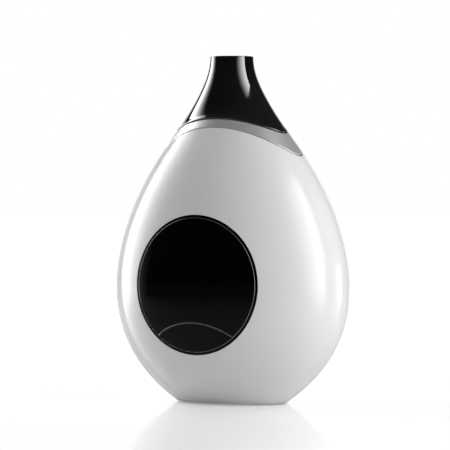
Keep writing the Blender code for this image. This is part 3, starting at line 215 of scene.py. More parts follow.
def outline_at(station, inset=0.0):
    """(half width, height) from station 0 at the base to 3 at the outlet, moved in by inset."""
    arc = min(max(int(station), 0), len(OUTLINE) - 1)
    share = station - arc
    rest = 1 - share
    start, leave, reach, end = (Vector(point) for point in OUTLINE[arc])
    place = start * rest**3 + leave * 3 * rest**2 * share + reach * 3 * rest * share**2 + end * share**3
    along = (leave - start) * rest**2 + (reach - leave) * 2 * rest * share + (end - reach) * share**2
    place = Vector((place.x * HALF_WIDE, place.y * TALL))
    along = Vector((along.x * HALF_WIDE, along.y * TALL)).normalized()
    return place.x - along.y * inset, place.y + along.x * inset


def station_at(height, inset=0.0):
    low, high = 0.0, float(len(OUTLINE))
    for _ in range(34):
        middle = (low + high) / 2
        if outline_at(middle, inset)[1] < height:
            low = middle
        else:
            high = middle
    return low


def surface_y(x, height, inset=0.0):
    """How far the drop's surface, moved in by inset, is from the middle plane."""
    half = outline_at(station_at(height, inset), inset)[0]
    return half * (HALF_DEEP - inset) / (HALF_WIDE - inset) * math.sqrt(max(1 - (x / half) ** 2, 0.0))


def seam_height(seam, x):
    crest, square, fourth = seam
    share = x / HALF_WIDE
    return TALL * (crest - square * share**2 - fourth * share**4)


def seam_station(seam, lift, turn):
    """The station where a column of the surface, at this turn round the axis, meets the seam."""
    low, high = 1.2, 2.9
    for _ in range(30):
        middle = (low + high) / 2
        half, height = outline_at(middle)
        if height < seam_height(seam, half * math.cos(turn)) + lift:
            low = middle
        else:
            high = middle
    return low


def raise_rings(name, rings, sides):
    """A wall drawn up from a round edge, ring by ring of (half width, half depth, height)."""
    wide, deep, height = rings[0]
    bpy.ops.object.select_all(action="DESELECT")
    bpy.ops.mesh.primitive_circle_add(vertices=sides, radius=1.0, location=(0.0, 0.0, 0.0))
    piece = bpy.context.active_object
    piece.name = piece.data.name = name
    bpy.ops.object.mode_set(mode="EDIT")
    bpy.ops.mesh.select_all(action="SELECT")
    bpy.ops.transform.translate(value=(0.0, 0.0, height))
    bpy.ops.transform.resize(value=(wide, deep, 1.0), center_override=(0.0, 0.0, height))
    for (wide, deep, height), (next_wide, next_deep, next_height) in zip(rings, rings[1:]):
        bpy.ops.mesh.extrude_edges_move(TRANSFORM_OT_translate={"value": (0.0, 0.0, next_height - height)})
        centre = (0.0, 0.0, next_height)
        bpy.ops.transform.resize(value=(next_wide / wide, next_deep / deep, 1.0), center_override=centre)
    bpy.ops.object.mode_set(mode="OBJECT")
    return piece


def saddle_wall(name, start, end, rings, sides, ratio_at, offset_at=None):
    """The drop's skin between two edges, each a station or a seam with its lift.

    It is drawn up with level rings, and each column is then slid along the outline between its edges."""
    level = [(1.0, 1.0, step / (rings - 1)) for step in range(rings)]
    piece = raise_rings(name, level, sides)
    edges = {}
    for corner in piece.data.vertices:
        turn = math.atan2(corner.co.y, corner.co.x)
        key = round(turn, 4)
        if key not in edges:
            edges[key] = [
                edge if isinstance(edge, float) else seam_station(edge[0], edge[1], turn)
                for edge in (start, end)
            ]
        low, high = edges[key]
        share = corner.co.z
        station = low + (high - low) * share
        half, height = outline_at(station, -offset_at(share) if offset_at else 0.0)
        corner.co = (half * math.cos(turn), half * ratio_at(height) * math.sin(turn), height)
    return piece


def apply_step(piece, kind, **values):
    """Adds one modifier with these values and applies it."""
    bpy.ops.object.select_all(action="DESELECT")
    bpy.context.view_layer.objects.active = piece
    piece.select_set(True)
    step = piece.modifiers.new(kind.lower(), kind)
    for key, value in values.items():
        setattr(step, key, value)
    bpy.ops.object.modifier_apply(modifier=step.name)


def recalculate(piece):
    bpy.ops.object.select_all(action="DESELECT")
    bpy.context.view_layer.objects.active = piece
    piece.select_set(True)
    bpy.ops.object.mode_set(mode="EDIT")
    bpy.ops.mesh.select_all(action="SELECT")
    bpy.ops.mesh.remove_doubles(threshold=0.00001)
    bpy.ops.mesh.normals_make_consistent(inside=False)
    bpy.ops.object.mode_set(mode="OBJECT")


def thicken(piece, wall):
    recalculate(piece)
    apply_step(piece, "SOLIDIFY", thickness=wall, offset=-1.0, use_even_offset=True)


def carve(piece, tool, operation="DIFFERENCE"):
    """Cuts with another solid, which is used up."""
    apply_step(piece, "BOOLEAN", operation=operation, object=tool, solver="EXACT")
    bpy.data.objects.remove(tool)


def soften(piece, width, segments=2, angle=EDGE_ANGLE, edge_slot=-1):
    """Rounds the edges, in a material slot of their own if asked, and shades the rest smooth."""
    apply_step(
        piece, "BEVEL", width=width, segments=segments, limit_method="ANGLE", angle_limit=angle,
        use_clamp_overlap=False, harden_normals=False, material=edge_slot,
    )
    bpy.ops.object.shade_smooth_by_angle(angle=angle)


def tidy_cuts(piece, reach=0.00012):
    """Merges the slivers that a cut leaves along its edge."""
    bpy.context.view_layer.objects.active = piece
    bpy.ops.object.mode_set(mode="EDIT")
    bpy.ops.mesh.select_all(action="SELECT")
    bpy.ops.mesh.remove_doubles(threshold=reach)
    bpy.ops.mesh.dissolve_degenerate(threshold=0.00001)
    bpy.ops.object.mode_set(mode="OBJECT")


def borrow_shading(piece, smooth):
    """Takes the gloss of the uncut surface, wherever the piece still lies on it."""
    for face in smooth.data.polygons:
        face.use_smooth = True
    apply_step(
        piece, "DATA_TRANSFER", object=smooth, use_loop_data=True, data_types_loops={"CUSTOM_NORMAL"},
        loop_mapping="POLYINTERP_NEAREST", use_max_distance=True, max_distance=0.00003,
    )
    bpy.data.objects.remove(smooth)


def copy_of(piece, name):
    twin = piece.copy()
    twin.data = piece.data.copy()
    twin.name = name
    bpy.context.scene.collection.objects.link(twin)
    return twin


def rod_along_y(name, radius, x, height, start, end, sides=128):
    """A cutting rod along Y between two distances from the middle plane."""
    bpy.ops.object.select_all(action="DESELECT")
    bpy.ops.mesh.primitive_cylinder_add(
        vertices=sides, radius=radius, depth=abs(end - start),
        location=(x, (start + end) / 2, height), rotation=(math.radians(90), 0.0, 0.0),
    )
    rod = bpy.context.active_object
    rod.name = name
    return rod


def block(name, size, place, turn=(0.0, 0.0, 0.0), round_corners=0.0, along="Y"):
    """A cube scaled to size, with the edges along one axis rounded."""
    bpy.ops.object.select_all(action="DESELECT")
    bpy.ops.mesh.primitive_cube_add(size=1.0, location=(0.0, 0.0, 0.0))
    made = bpy.context.active_object
    made.name = made.data.name = name
    bpy.ops.object.mode_set(mode="EDIT")
    bpy.ops.mesh.select_all(action="SELECT")
    bpy.ops.transform.resize(value=size, center_override=(0.0, 0.0, 0.0))
    bpy.ops.object.mode_set(mode="OBJECT")
    if round_corners:
        axis = "XYZ".index(along)
        bpy.ops.object.mode_set(mode="EDIT")
        bpy.ops.mesh.select_mode(type="EDGE")
        bpy.ops.mesh.select_all(action="DESELECT")
        bpy.ops.object.mode_set(mode="OBJECT")
        for edge in made.data.edges:
            one, other = (made.data.vertices[i].co for i in edge.vertices)
            edge.select = abs(one[axis] - other[axis]) > size[axis] * 0.9
        bpy.ops.object.mode_set(mode="EDIT")
        bpy.ops.mesh.bevel(offset=round_corners, segments=5)
        bpy.ops.object.mode_set(mode="OBJECT")
    made.rotation_euler = turn
    made.location = place
    return made


def settle(piece):
    """Puts the piece's place and turn into its mesh."""
    bpy.ops.object.select_all(action="DESELECT")
    bpy.context.view_layer.objects.active = piece
    piece.select_set(True)
    bpy.ops.object.transform_apply(location=True, rotation=True, scale=True)


BODY_RATIO = HALF_DEEP / HALF_WIDE


def body_ratio(height):
    return BODY_RATIO


# Finishes. Each is a Principled surface whose grain, tone and dust come from three shared groups.
def make_grain_group():
    """Moulded grain: a fine height that varies over the surface."""
    group = bpy.data.node_groups.new("moulded_grain", "ShaderNodeTree")
    group.interface.new_socket("Scale", in_out="INPUT", socket_type="NodeSocketFloat")
    group.interface.new_socket("Stretch", in_out="INPUT", socket_type="NodeSocketVector")
    group.interface.new_socket("Height", in_out="OUTPUT", socket_type="NodeSocketFloat")
    enter = group.nodes.new("NodeGroupInput")
    leave = group.nodes.new("NodeGroupOutput")
    where = group.nodes.new("ShaderNodeTexCoord")
    stretch = group.nodes.new("ShaderNodeMapping")
    fine = group.nodes.new("ShaderNodeTexNoise")
    fine.inputs["Detail"].default_value = 6.0
    fine.inputs["Roughness"].default_value = 0.6
    group.links.new(where.outputs["Object"], stretch.inputs["Vector"])
    group.links.new(enter.outputs["Stretch"], stretch.inputs["Scale"])
    group.links.new(stretch.outputs["Vector"], fine.inputs["Vector"])
    group.links.new(enter.outputs["Scale"], fine.inputs["Scale"])
    group.links.new(fine.outputs["Fac"], leave.inputs["Height"])
    return group


def make_tone_group():
    """Slow changes of colour and roughness, as handling and moulding leave."""
    group = bpy.data.node_groups.new("surface_tone", "ShaderNodeTree")
    for name, kind in (
        ("Colour", "Color"), ("Second Colour", "Color"), ("Low Roughness", "Float"),
        ("High Roughness", "Float"), ("Scale", "Float"),
    ):
        group.interface.new_socket(name, in_out="INPUT", socket_type="NodeSocket" + kind)
    group.interface.new_socket("Colour", in_out="OUTPUT", socket_type="NodeSocketColor")
    group.interface.new_socket("Roughness", in_out="OUTPUT", socket_type="NodeSocketFloat")
    enter = group.nodes.new("NodeGroupInput")
    leave = group.nodes.new("NodeGroupOutput")
    where = group.nodes.new("ShaderNodeTexCoord")
    cloud = group.nodes.new("ShaderNodeTexNoise")
    cloud.inputs["Detail"].default_value = 4.0
    smear = group.nodes.new("ShaderNodeMapRange")
    smear.inputs["From Min"].default_value = 0.35
    smear.inputs["From Max"].default_value = 0.65
    tint = group.nodes.new("ShaderNodeMix")
    tint.data_type = "RGBA"
    rough = group.nodes.new("ShaderNodeMapRange")
    group.links.new(where.outputs["Object"], cloud.inputs["Vector"])
    group.links.new(enter.outputs["Scale"], cloud.inputs["Scale"])
    group.links.new(cloud.outputs["Fac"], smear.inputs["Value"])
    group.links.new(smear.outputs["Result"], tint.inputs["Factor"])
    group.links.new(enter.outputs["Colour"], tint.inputs[6])
    group.links.new(enter.outputs["Second Colour"], tint.inputs[7])
    group.links.new(cloud.outputs["Fac"], rough.inputs["Value"])
    group.links.new(enter.outputs["Low Roughness"], rough.inputs["To Min"])
    group.links.new(enter.outputs["High Roughness"], rough.inputs["To Max"])
    group.links.new(tint.outputs[2], leave.inputs["Colour"])
    group.links.new(rough.outputs["Result"], leave.inputs["Roughness"])
    return group


def make_dust_group():
    """A trace of dust on what faces up."""
    group = bpy.data.node_groups.new("settled_dust", "ShaderNodeTree")
    group.interface.new_socket("Colour", in_out="INPUT", socket_type="NodeSocketColor")
    group.interface.new_socket("Dust", in_out="INPUT", socket_type="NodeSocketColor")
    group.interface.new_socket("Amount", in_out="INPUT", socket_type="NodeSocketFloat")
    group.interface.new_socket("Colour", in_out="OUTPUT", socket_type="NodeSocketColor")
    enter = group.nodes.new("NodeGroupInput")
    leave = group.nodes.new("NodeGroupOutput")
    facing = group.nodes.new("ShaderNodeNewGeometry")
    split = group.nodes.new("ShaderNodeSeparateXYZ")
    up = group.nodes.new("ShaderNodeMapRange")
    up.inputs["From Min"].default_value = 0.3
    where = group.nodes.new("ShaderNodeTexCoord")
    specks = group.nodes.new("ShaderNodeTexNoise")
    specks.inputs["Scale"].default_value = 420.0
    specks.inputs["Detail"].default_value = 5.0
    patch = group.nodes.new("ShaderNodeMapRange")
    patch.inputs["From Min"].default_value = 0.48
    patch.inputs["From Max"].default_value = 0.75
    both = group.nodes.new("ShaderNodeMath")
    both.operation = "MULTIPLY"
    share = group.nodes.new("ShaderNodeMath")
    share.operation = "MULTIPLY"
    tint = group.nodes.new("ShaderNodeMix")
    tint.data_type = "RGBA"
    group.links.new(facing.outputs["Normal"], split.inputs["Vector"])
    group.links.new(split.outputs["Z"], up.inputs["Value"])
    group.links.new(where.outputs["Object"], specks.inputs["Vector"])
    group.links.new(specks.outputs["Fac"], patch.inputs["Value"])
    group.links.new(up.outputs["Result"], both.inputs[0])
    group.links.new(patch.outputs["Result"], both.inputs[1])
    group.links.new(both.outputs["Value"], share.inputs[0])
    group.links.new(enter.outputs["Amount"], share.inputs[1])
    group.links.new(share.outputs["Value"], tint.inputs["Factor"])
    group.links.new(enter.outputs["Colour"], tint.inputs[6])
    group.links.new(enter.outputs["Dust"], tint.inputs[7])
    group.links.new(tint.outputs[2], leave.inputs["Colour"])
    return group


grain_group = make_grain_group()
tone_group = make_tone_group()
dust_group = make_dust_group()
DUST_COLOUR = (0.62, 0.60, 0.57, 1.0)


def finish(name, colour, second, roughness, tone_scale, grain_scale, grain_depth, stretch=(1.0, 1.0, 1.0),
           dust=0.0, **constant):
    """A surface with its tone, grain and dust. What is constant is set on the shader itself."""
    material = bpy.data.materials.new(name)
    material.use_nodes = True
    tree = material.node_tree
    shader = tree.nodes["Principled BSDF"]
    for key, value in constant.items():
        shader.inputs[key.replace("_", " ").title().replace("Ior", "IOR")].default_value = value
    tone = tree.nodes.new("ShaderNodeGroup")
    tone.node_tree = tone_group
    tone.inputs["Colour"].default_value = (*colour, 1.0)
    tone.inputs["Second Colour"].default_value = (*second, 1.0)
    tone.inputs["Low Roughness"].default_value = roughness[0]
    tone.inputs["High Roughness"].default_value = roughness[1]
    tone.inputs["Scale"].default_value = tone_scale
    dusty = tree.nodes.new("ShaderNodeGroup")
    dusty.node_tree = dust_group
    dusty.inputs["Dust"].default_value = DUST_COLOUR
    dusty.inputs["Amount"].default_value = dust
    grain = tree.nodes.new("ShaderNodeGroup")
    grain.node_tree = grain_group
    grain.inputs["Scale"].default_value = grain_scale
    grain.inputs["Stretch"].default_value = stretch
    bump = tree.nodes.new("ShaderNodeBump")
    bump.inputs["Strength"].default_value = 1.0
    bump.inputs["Distance"].default_value = grain_depth
    tree.links.new(tone.outputs["Colour"], dusty.inputs["Colour"])
    tree.links.new(dusty.outputs["Colour"], shader.inputs["Base Color"])
    tree.links.new(tone.outputs["Roughness"], shader.inputs["Roughness"])
    tree.links.new(grain.outputs["Height"], bump.inputs["Height"])
    tree.links.new(bump.outputs["Normal"], shader.inputs["Normal"])
    return material


def dress(piece, material):
    piece.data.materials.clear()
    piece.data.materials.append(material)


def dress_node(name, material):
    """Gives a CAD node its finish."""
    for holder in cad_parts[name].material_slots:
        holder.material = material


white_gloss = finish(
    "white_gloss_abs", (0.86, 0.865, 0.87), (0.845, 0.85, 0.858), (0.17, 0.24), 9.0, 900.0, 0.000004,
    dust=0.05, coat_weight=0.25, coat_roughness=0.12,
)
FILTER_X, FILTER_HEIGHT = -0.036, 0.043
FILTER_WIDE, FILTER_TALL = 0.044, 0.032
FILTER_GAP = 0.0005
INLET_X, INLET_HEIGHT = 0.036, 0.044
INLET_WIDE, INLET_TALL, INLET_DEEP = 0.024, 0.016, 0.018
INLET_TILT = math.radians(24)
INLET_SINK = 0.0025

HOUSING_RINGS, HOUSING_SIDES = 96, 192
housing = saddle_wall(
    "housing_shell", station_at(BASE_LIFT), (LOWER_SEAM, -SEAM_GAP / 2),
    HOUSING_RINGS, HOUSING_SIDES, body_ratio,
)
smooth_housing = copy_of(housing, "housing_uncut")
recalculate(smooth_housing)
thicken(housing, SHELL_WALL)
carve(housing, rod_along_y("panel_hole", PANEL_RADIUS + FIT_GAP, 0.0, PANEL_HEIGHT, -0.16, -0.03, 192))
rear_y = surface_y(abs(FILTER_X) + FILTER_WIDE / 2, FILTER_HEIGHT - FILTER_TALL / 2)
carve(housing, block(
    "filter_hole", (FILTER_WIDE + 2 * FILTER_GAP, 0.08, FILTER_TALL + 2 * FILTER_GAP),
    (FILTER_X, rear_y, FILTER_HEIGHT), round_corners=0.0012,
))
inlet_y = surface_y(INLET_X + INLET_WIDE / 2, INLET_HEIGHT) - INLET_SINK
carve(housing, block(
    "inlet_hole", (INLET_WIDE + 2 * FIT_GAP, 0.08, INLET_TALL + 2 * FIT_GAP),
    (INLET_X, inlet_y, INLET_HEIGHT), (-INLET_TILT, 0.0, 0.0), round_corners=0.0012,
))
tidy_cuts(housing, 0.00024)
soften(housing, 0.0002)
borrow_shading(housing, smooth_housing)
dress(housing, white_gloss)
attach(housing, "housing")
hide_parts("outer_shell")


# ---- Saddle collar: a ring of satin silver between the housing and the nozzle, moulded and then
# metallised, with rounded edges. The nozzle's rim seats on it.
COLLAR_WALL = 0.0032
satin_silver = finish(
    "satin_silver", (0.70, 0.70, 0.71), (0.64, 0.64, 0.65), (0.34, 0.42), 14.0, 160.0, 0.0000025,
    stretch=(1.0, 1.0, 14.0), metallic=0.55, coat_weight=0.30, coat_roughness=0.20,
)
COLLAR_RINGS, COLLAR_SIDES = 10, 256
collar = saddle_wall(
    "saddle_collar", (LOWER_SEAM, SEAM_GAP / 2), (UPPER_SEAM, -SEAM_GAP / 2),
    COLLAR_RINGS, COLLAR_SIDES, body_ratio,
)
thicken(collar, COLLAR_WALL)
soften(collar, 0.0007, 3)
dress(collar, satin_silver)
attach(collar, "housing")
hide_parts("top_collar")


# ---- Nozzle: piano-black ABS, flared from a round outlet to the saddle, polished in the mould.
# A fine bead runs round its lower edge, and it lifts straight off.
NOZZLE_WALL = 0.0025
ROUNDING_START, ROUNDING_END = 0.820, 0.985
LIP_SHARE, LIP_PROUD = 0.035, 0.0005
piano_black = finish(
    "piano_black", (0.0010, 0.0010, 0.0012), (0.0018, 0.0018, 0.0020), (0.045, 0.075), 16.0, 500.0, 0.0000006,
    dust=0.004, specular_ior_level=0.8, coat_weight=1.0, coat_roughness=0.05, coat_ior=1.65,
)


def nozzle_ratio(height):
    """Depth over width, from the body's flat oval to the round outlet."""
    share = (height / TALL - ROUNDING_START) / (ROUNDING_END - ROUNDING_START)
    share = min(max(share, 0.0), 1.0)
    return BODY_RATIO + (1 - BODY_RATIO) * share * share * (3 - 2 * share)


def nozzle_lip(share):
    """How far the bead at the lower edge stands proud."""
    return LIP_PROUD * max(0.0, 1 - share / LIP_SHARE) ** 0.5


nozzle = saddle_wall("nozzle_cone", (UPPER_SEAM, SEAM_GAP / 2), 2.9999, 110, 256, nozzle_ratio, nozzle_lip)
thicken(nozzle, NOZZLE_WALL)
soften(nozzle, 0.0009, 4)
dress(nozzle, piano_black)
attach(nozzle, "nozzle_lid")
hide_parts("nozzle")


# ---- Round panel: a piano-black bezel ring pressed into the housing, with a lens plate glued in it
# and a push plate under the arc. All three follow the drop's surface.
RIM_WIDE = 0.0021
PANEL_INSET = 0.0002
LENS_INSET, LENS_THICK = 0.0003, 0.0025
LENS_RADIUS = PANEL_RADIUS - RIM_WIDE - FIT_GAP
ARC_RADIUS, ARC_CREST, ARC_SPLIT = 0.0750, 0.0320, 0.0003
ARC_HEIGHT = PANEL_HEIGHT - PANEL_RADIUS + ARC_CREST - ARC_RADIUS


def dish(name, radii, inset, sides):
    """A round sheet or ring drawn in from its edge, laid on the drop's front."""
    bpy.ops.object.select_all(action="DESELECT")
    bpy.ops.mesh.primitive_circle_add(
        vertices=sides, radius=radii[0], location=(0.0, 0.0, PANEL_HEIGHT),
        rotation=(math.radians(90), 0.0, 0.0),
    )
    piece = bpy.context.active_object
    piece.name = piece.data.name = name
    bpy.ops.object.transform_apply(location=True, rotation=True, scale=True)
    bpy.ops.object.mode_set(mode="EDIT")
    bpy.ops.mesh.select_all(action="SELECT")
    centre = (0.0, 0.0, PANEL_HEIGHT)
    for radius, smaller in zip(radii, radii[1:]):
        bpy.ops.mesh.extrude_edges_move(TRANSFORM_OT_translate={"value": (0.0, 0.0, 0.0)})
        share = max(smaller, 0.00001) / radius
        bpy.ops.transform.resize(value=(share, 1.0, share), center_override=centre)
    if radii[-1] == 0.0:
        bpy.ops.mesh.merge(type="CENTER")
    bpy.ops.object.mode_set(mode="OBJECT")
    for corner in piece.data.vertices:
        corner.co.y = -surface_y(corner.co.x, corner.co.z) + inset
    return piece


def face_front(piece):
    """Turns an open sheet's faces to the front."""
    recalculate(piece)
    if sum(face.normal.y * face.area for face in piece.data.polygons) > 0:
        bpy.context.view_layer.objects.active = piece
        bpy.ops.object.mode_set(mode="EDIT")
        bpy.ops.mesh.select_all(action="SELECT")
        bpy.ops.mesh.flip_normals()
        bpy.ops.object.mode_set(mode="OBJECT")


smoked_lens = finish(
    "smoked_lens", (0.0008, 0.0008, 0.0010), (0.0014, 0.0014, 0.0016), (0.05, 0.08), 12.0, 500.0, 0.0000005,
    dust=0.004, specular_ior_level=0.12,
)
EDGE_SPARE = 0.0010
bezel_inner = PANEL_RADIUS - RIM_WIDE
rim_span = RIM_WIDE + 2 * EDGE_SPARE
rim_steps = [PANEL_RADIUS + EDGE_SPARE - rim_span * step / 6 for step in range(7)]
bezel = dish("panel_bezel", rim_steps, PANEL_INSET, 256)
face_front(bezel)
smooth_bezel = copy_of(bezel, "bezel_uncut")
apply_step(bezel, "SOLIDIFY", thickness=SHELL_WALL + 0.0006, offset=-1.0, use_even_offset=True)
carve(bezel, rod_along_y("bezel_outside", PANEL_RADIUS, 0.0, PANEL_HEIGHT, -0.14, -0.02, 256), "INTERSECT")
carve(bezel, rod_along_y("bezel_inside", bezel_inner, 0.0, PANEL_HEIGHT, -0.15, -0.01, 256))
tidy_cuts(bezel)
soften(bezel, 0.00045, 3)
borrow_shading(bezel, smooth_bezel)
TRAY_FLANGE, TRAY_STEP, TRAY_SINK, TRAY_THICK = 0.0030, 0.0060, 0.0008, 0.0016
tray_steps = [PANEL_RADIUS + TRAY_FLANGE - TRAY_STEP * step for step in range(12)]
tray = dish("panel_tray", tray_steps, SHELL_WALL + TRAY_SINK, 96)
face_front(tray)
apply_step(tray, "SOLIDIFY", thickness=TRAY_THICK, offset=-1.0, use_even_offset=True)
soften(tray, 0.0003)
for piece in (bezel, tray):
    dress(piece, smoked_lens)
    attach(piece, "housing")
    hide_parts("fascia_bezel")

# Edges of the lens and push plate: a real glossy coat, and a grey base colour far lighter than the smoked
# faces, which is a painted highlight along the rims.
polished_edge_painted_highlight = finish(
    "polished_edge_painted_highlight", (0.14, 0.14, 0.145), (0.10, 0.10, 0.105), (0.16, 0.26), 60.0, 700.0, 0.000002,
    specular_ior_level=1.0, coat_weight=1.0, coat_roughness=0.06, coat_ior=1.7,
)


def dress_plate(plate, width):
    """Smoked faces with rounded, polished edges, whose lighter grey colour is a painted highlight."""
    dress(plate, smoked_lens)
    plate.data.materials.append(polished_edge_painted_highlight)
    soften(plate, width, 3, edge_slot=1)


lens_steps = [(LENS_RADIUS + EDGE_SPARE) * (1 - step / 26) for step in range(27)]
lens = dish("panel_lens", lens_steps, LENS_INSET, 192)
face_front(lens)
smooth_lens = copy_of(lens, "lens_uncut")
apply_step(lens, "SOLIDIFY", thickness=LENS_THICK, offset=-1.0, use_even_offset=True)
carve(lens, rod_along_y("lens_outside", LENS_RADIUS, 0.0, PANEL_HEIGHT, -0.14, -0.02, 256), "INTERSECT")
button = copy_of(lens, "push_plate")
smooth_button = copy_of(smooth_lens, "button_uncut")
carve(lens, rod_along_y("lens_arc", ARC_RADIUS + ARC_SPLIT / 2, 0.0, ARC_HEIGHT, -0.14, -0.02, 360))
tidy_cuts(lens)
dress_plate(lens, 0.0005)
borrow_shading(lens, smooth_lens)
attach(lens, "housing")
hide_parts("fascia_lens")

arc_rod = rod_along_y("button_arc", ARC_RADIUS - ARC_SPLIT / 2, 0.0, ARC_HEIGHT, -0.14, -0.02, 360)
carve(button, arc_rod, "INTERSECT")
tidy_cuts(button)
dress_plate(button, 0.0005)
borrow_shading(button, smooth_button)
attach(button, "button")
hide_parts("control_button")

# ---- Nozzle insert: a satin white polypropylene funnel clipped inside the nozzle. Its skirt goes
# over the top of the chimney, and it leads the mist up to the outlet.
FUNNEL_WALL = 0.0016
FUNNEL_LOW, FUNNEL_BEND, FUNNEL_END = 0.7486 * TALL, 0.8171 * TALL, 0.98 * TALL
FUNNEL_WIDE, FUNNEL_DEEP = 0.0450, 0.0245
FUNNEL_NECK = 0.016
FUNNEL_EASE = 0.45
satin_white = finish(
    "satin_white_pp", (0.76, 0.77, 0.78), (0.72, 0.73, 0.745), (0.34, 0.48), 22.0, 700.0, 0.00002, dust=0.06,
)
funnel_neck = outline_at(station_at(FUNNEL_END))[0] - NOZZLE_WALL - 0.0008
funnel_rings = [(FUNNEL_WIDE, FUNNEL_DEEP, FUNNEL_LOW + (FUNNEL_BEND - FUNNEL_LOW) * i / 4) for i in range(5)]
for step in range(1, 33):
    share = step / 32
    ease = share * share * (3 - 2 * share) * FUNNEL_EASE + share * (1 - FUNNEL_EASE)
    funnel_rings.append((
        FUNNEL_WIDE + (funnel_neck - FUNNEL_WIDE) * ease, FUNNEL_DEEP + (funnel_neck - FUNNEL_DEEP) * ease,
        FUNNEL_BEND + (FUNNEL_END - FUNNEL_NECK - FUNNEL_BEND) * share,
    ))
funnel_rings += [(funnel_neck, funnel_neck, FUNNEL_END - FUNNEL_NECK * (1 - i / 3)) for i in range(1, 4)]
insert = raise_rings("nozzle_insert", funnel_rings, 128)
thicken(insert, FUNNEL_WALL)
soften(insert, 0.0005, 3)
dress(insert, satin_white)
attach(insert, "nozzle_lid")
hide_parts("nozzle_funnel")


# ---- Water tank: a drop-shaped wall and a floor of frosted SAN, welded together. The floor's posts
# stand on the base plate and are screwed to it.
frosted_san = finish(
    "frosted_san", (0.66, 0.72, 0.76), (0.60, 0.67, 0.72), (0.22, 0.38), 18.0, 260.0, 0.000012,
    stretch=(1.0, 1.0, 0.35), transmission_weight=0.35, ior=1.57,
)
for name in ("water_tank", "tank_floor"):
    dress_node(name, frosted_san)


def lathe(name, profile, sides, place=(0.0, 0.0, 0.0)):
    """A solid turned round a standing axis from (radius, height) pairs. A ring closes on itself."""
    rings = [(max(radius, 0.000004), max(radius, 0.000004), height) for radius, height in profile]
    piece = raise_rings(name, rings, sides)
    recalculate(piece)
    piece.location = place
    settle(piece)
    return piece


# ---- Mist chimney: a frosted tube of SAN that stands on the tank floor round the transducer. Three
# pairs of slots at its foot let the water in.
CHIMNEY_FOOT, CHIMNEY_WAIST, CHIMNEY_MIDDLE, CHIMNEY_TOP = 0.0685, 0.0885, 0.150, FUNNEL_LOW - 0.0045
CHIMNEY_FOOT_RADIUS, CHIMNEY_MIDDLE_RADIUS, CHIMNEY_TOP_RADIUS = 0.0210, 0.0194, 0.0170
CHIMNEY_COLLAR = 0.0020
CHIMNEY_WALL = 0.0016
SLOT_WIDE, SLOT_TALL, SLOT_CORNER = 0.0100, 0.0080, 0.0020
chimney_outside = [
    (CHIMNEY_TOP_RADIUS, CHIMNEY_TOP), (CHIMNEY_TOP_RADIUS, CHIMNEY_TOP - CHIMNEY_COLLAR),
    (CHIMNEY_MIDDLE_RADIUS, CHIMNEY_MIDDLE), (CHIMNEY_FOOT_RADIUS, CHIMNEY_WAIST),
    (CHIMNEY_FOOT_RADIUS, CHIMNEY_FOOT),
]
chimney_inside = [(radius - CHIMNEY_WALL, height) for radius, height in reversed(chimney_outside)]
chimney = lathe("mist_chimney_tube", chimney_outside + chimney_inside + chimney_outside[:1], 96)
for number, turn in enumerate((30, 90, 150), 1):
    slot_size = (0.1, SLOT_WIDE, 2 * SLOT_TALL)
    slot_place, slot_turn = (0.0, 0.0, CHIMNEY_FOOT), (0.0, 0.0, math.radians(turn))
    carve(chimney, block(f"water_slot_{number}", slot_size, slot_place, slot_turn, SLOT_CORNER, "X"))
tidy_cuts(chimney, 0.00005)
soften(chimney, 0.0004)
dress(chimney, frosted_san)
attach(chimney, "housing")
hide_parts("mist_chimney")


# ---- Air riser: a frosted pipe that brings the fan's air above the waterline, flanged and sealed
# to the tank floor over the duct.
riser_low, riser_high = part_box("air_riser")
RISER_RADIUS, RISER_WALL, RISER_FOOT, RISER_FLANGE, RISER_FILLET = 0.0090, 0.0014, 0.0020, 0.0130, 0.0010
flange_top = riser_low.z + RISER_FOOT
riser = lathe("air_riser_pipe", [
    (RISER_RADIUS, riser_high.z), (RISER_RADIUS, flange_top + RISER_FILLET),
    (RISER_RADIUS + RISER_FILLET, flange_top), (RISER_FLANGE, flange_top), (RISER_FLANGE, riser_low.z),
    (RISER_RADIUS - RISER_WALL, riser_low.z), (RISER_RADIUS - RISER_WALL, riser_high.z),
    (RISER_RADIUS, riser_high.z),
], 80, ((riser_low.x + riser_high.x) / 2, (riser_low.y + riser_high.y) / 2, 0.0))
soften(riser, 0.0004)
dress(riser, frosted_san)
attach(riser, "housing")
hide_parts("air_riser")


# ---- Level float: a foamed polypropylene ring with two moulded grooves, free on the tank floor's
# post under a clip-on cap. It lifts with the water.
float_low, float_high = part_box("level_float")
FLOAT_RADIUS, FLOAT_BORE, FLOAT_CHAMFER, GROOVE = 0.0130, 0.0048, 0.0020, 0.0006
float_tall = float_high.z - float_low.z
float_place = ((float_low.x + float_high.x) / 2, (float_low.y + float_high.y) / 2, float_low.z)
foamed_white = finish(
    "foamed_white", (0.80, 0.80, 0.78), (0.73, 0.73, 0.71), (0.55, 0.70), 60.0, 1400.0, 0.00006, dust=0.04,
)
float_ring = lathe("level_float_ring", [
    (FLOAT_RADIUS - FLOAT_CHAMFER, float_tall), (FLOAT_RADIUS, float_tall - FLOAT_CHAMFER),
    (FLOAT_RADIUS, 0.0093), (FLOAT_RADIUS - GROOVE, 0.0087), (FLOAT_RADIUS, 0.0081), (FLOAT_RADIUS, 0.0059),
    (FLOAT_RADIUS - GROOVE, 0.0053), (FLOAT_RADIUS, 0.0047), (FLOAT_RADIUS, FLOAT_CHAMFER),
    (FLOAT_RADIUS - FLOAT_CHAMFER, 0.0), (FLOAT_BORE, 0.0), (FLOAT_BORE, float_tall),
    (FLOAT_RADIUS - FLOAT_CHAMFER, float_tall),
], 64, float_place)
soften(float_ring, 0.0003)
dress(float_ring, foamed_white)
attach(float_ring, "float")
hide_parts("level_float")

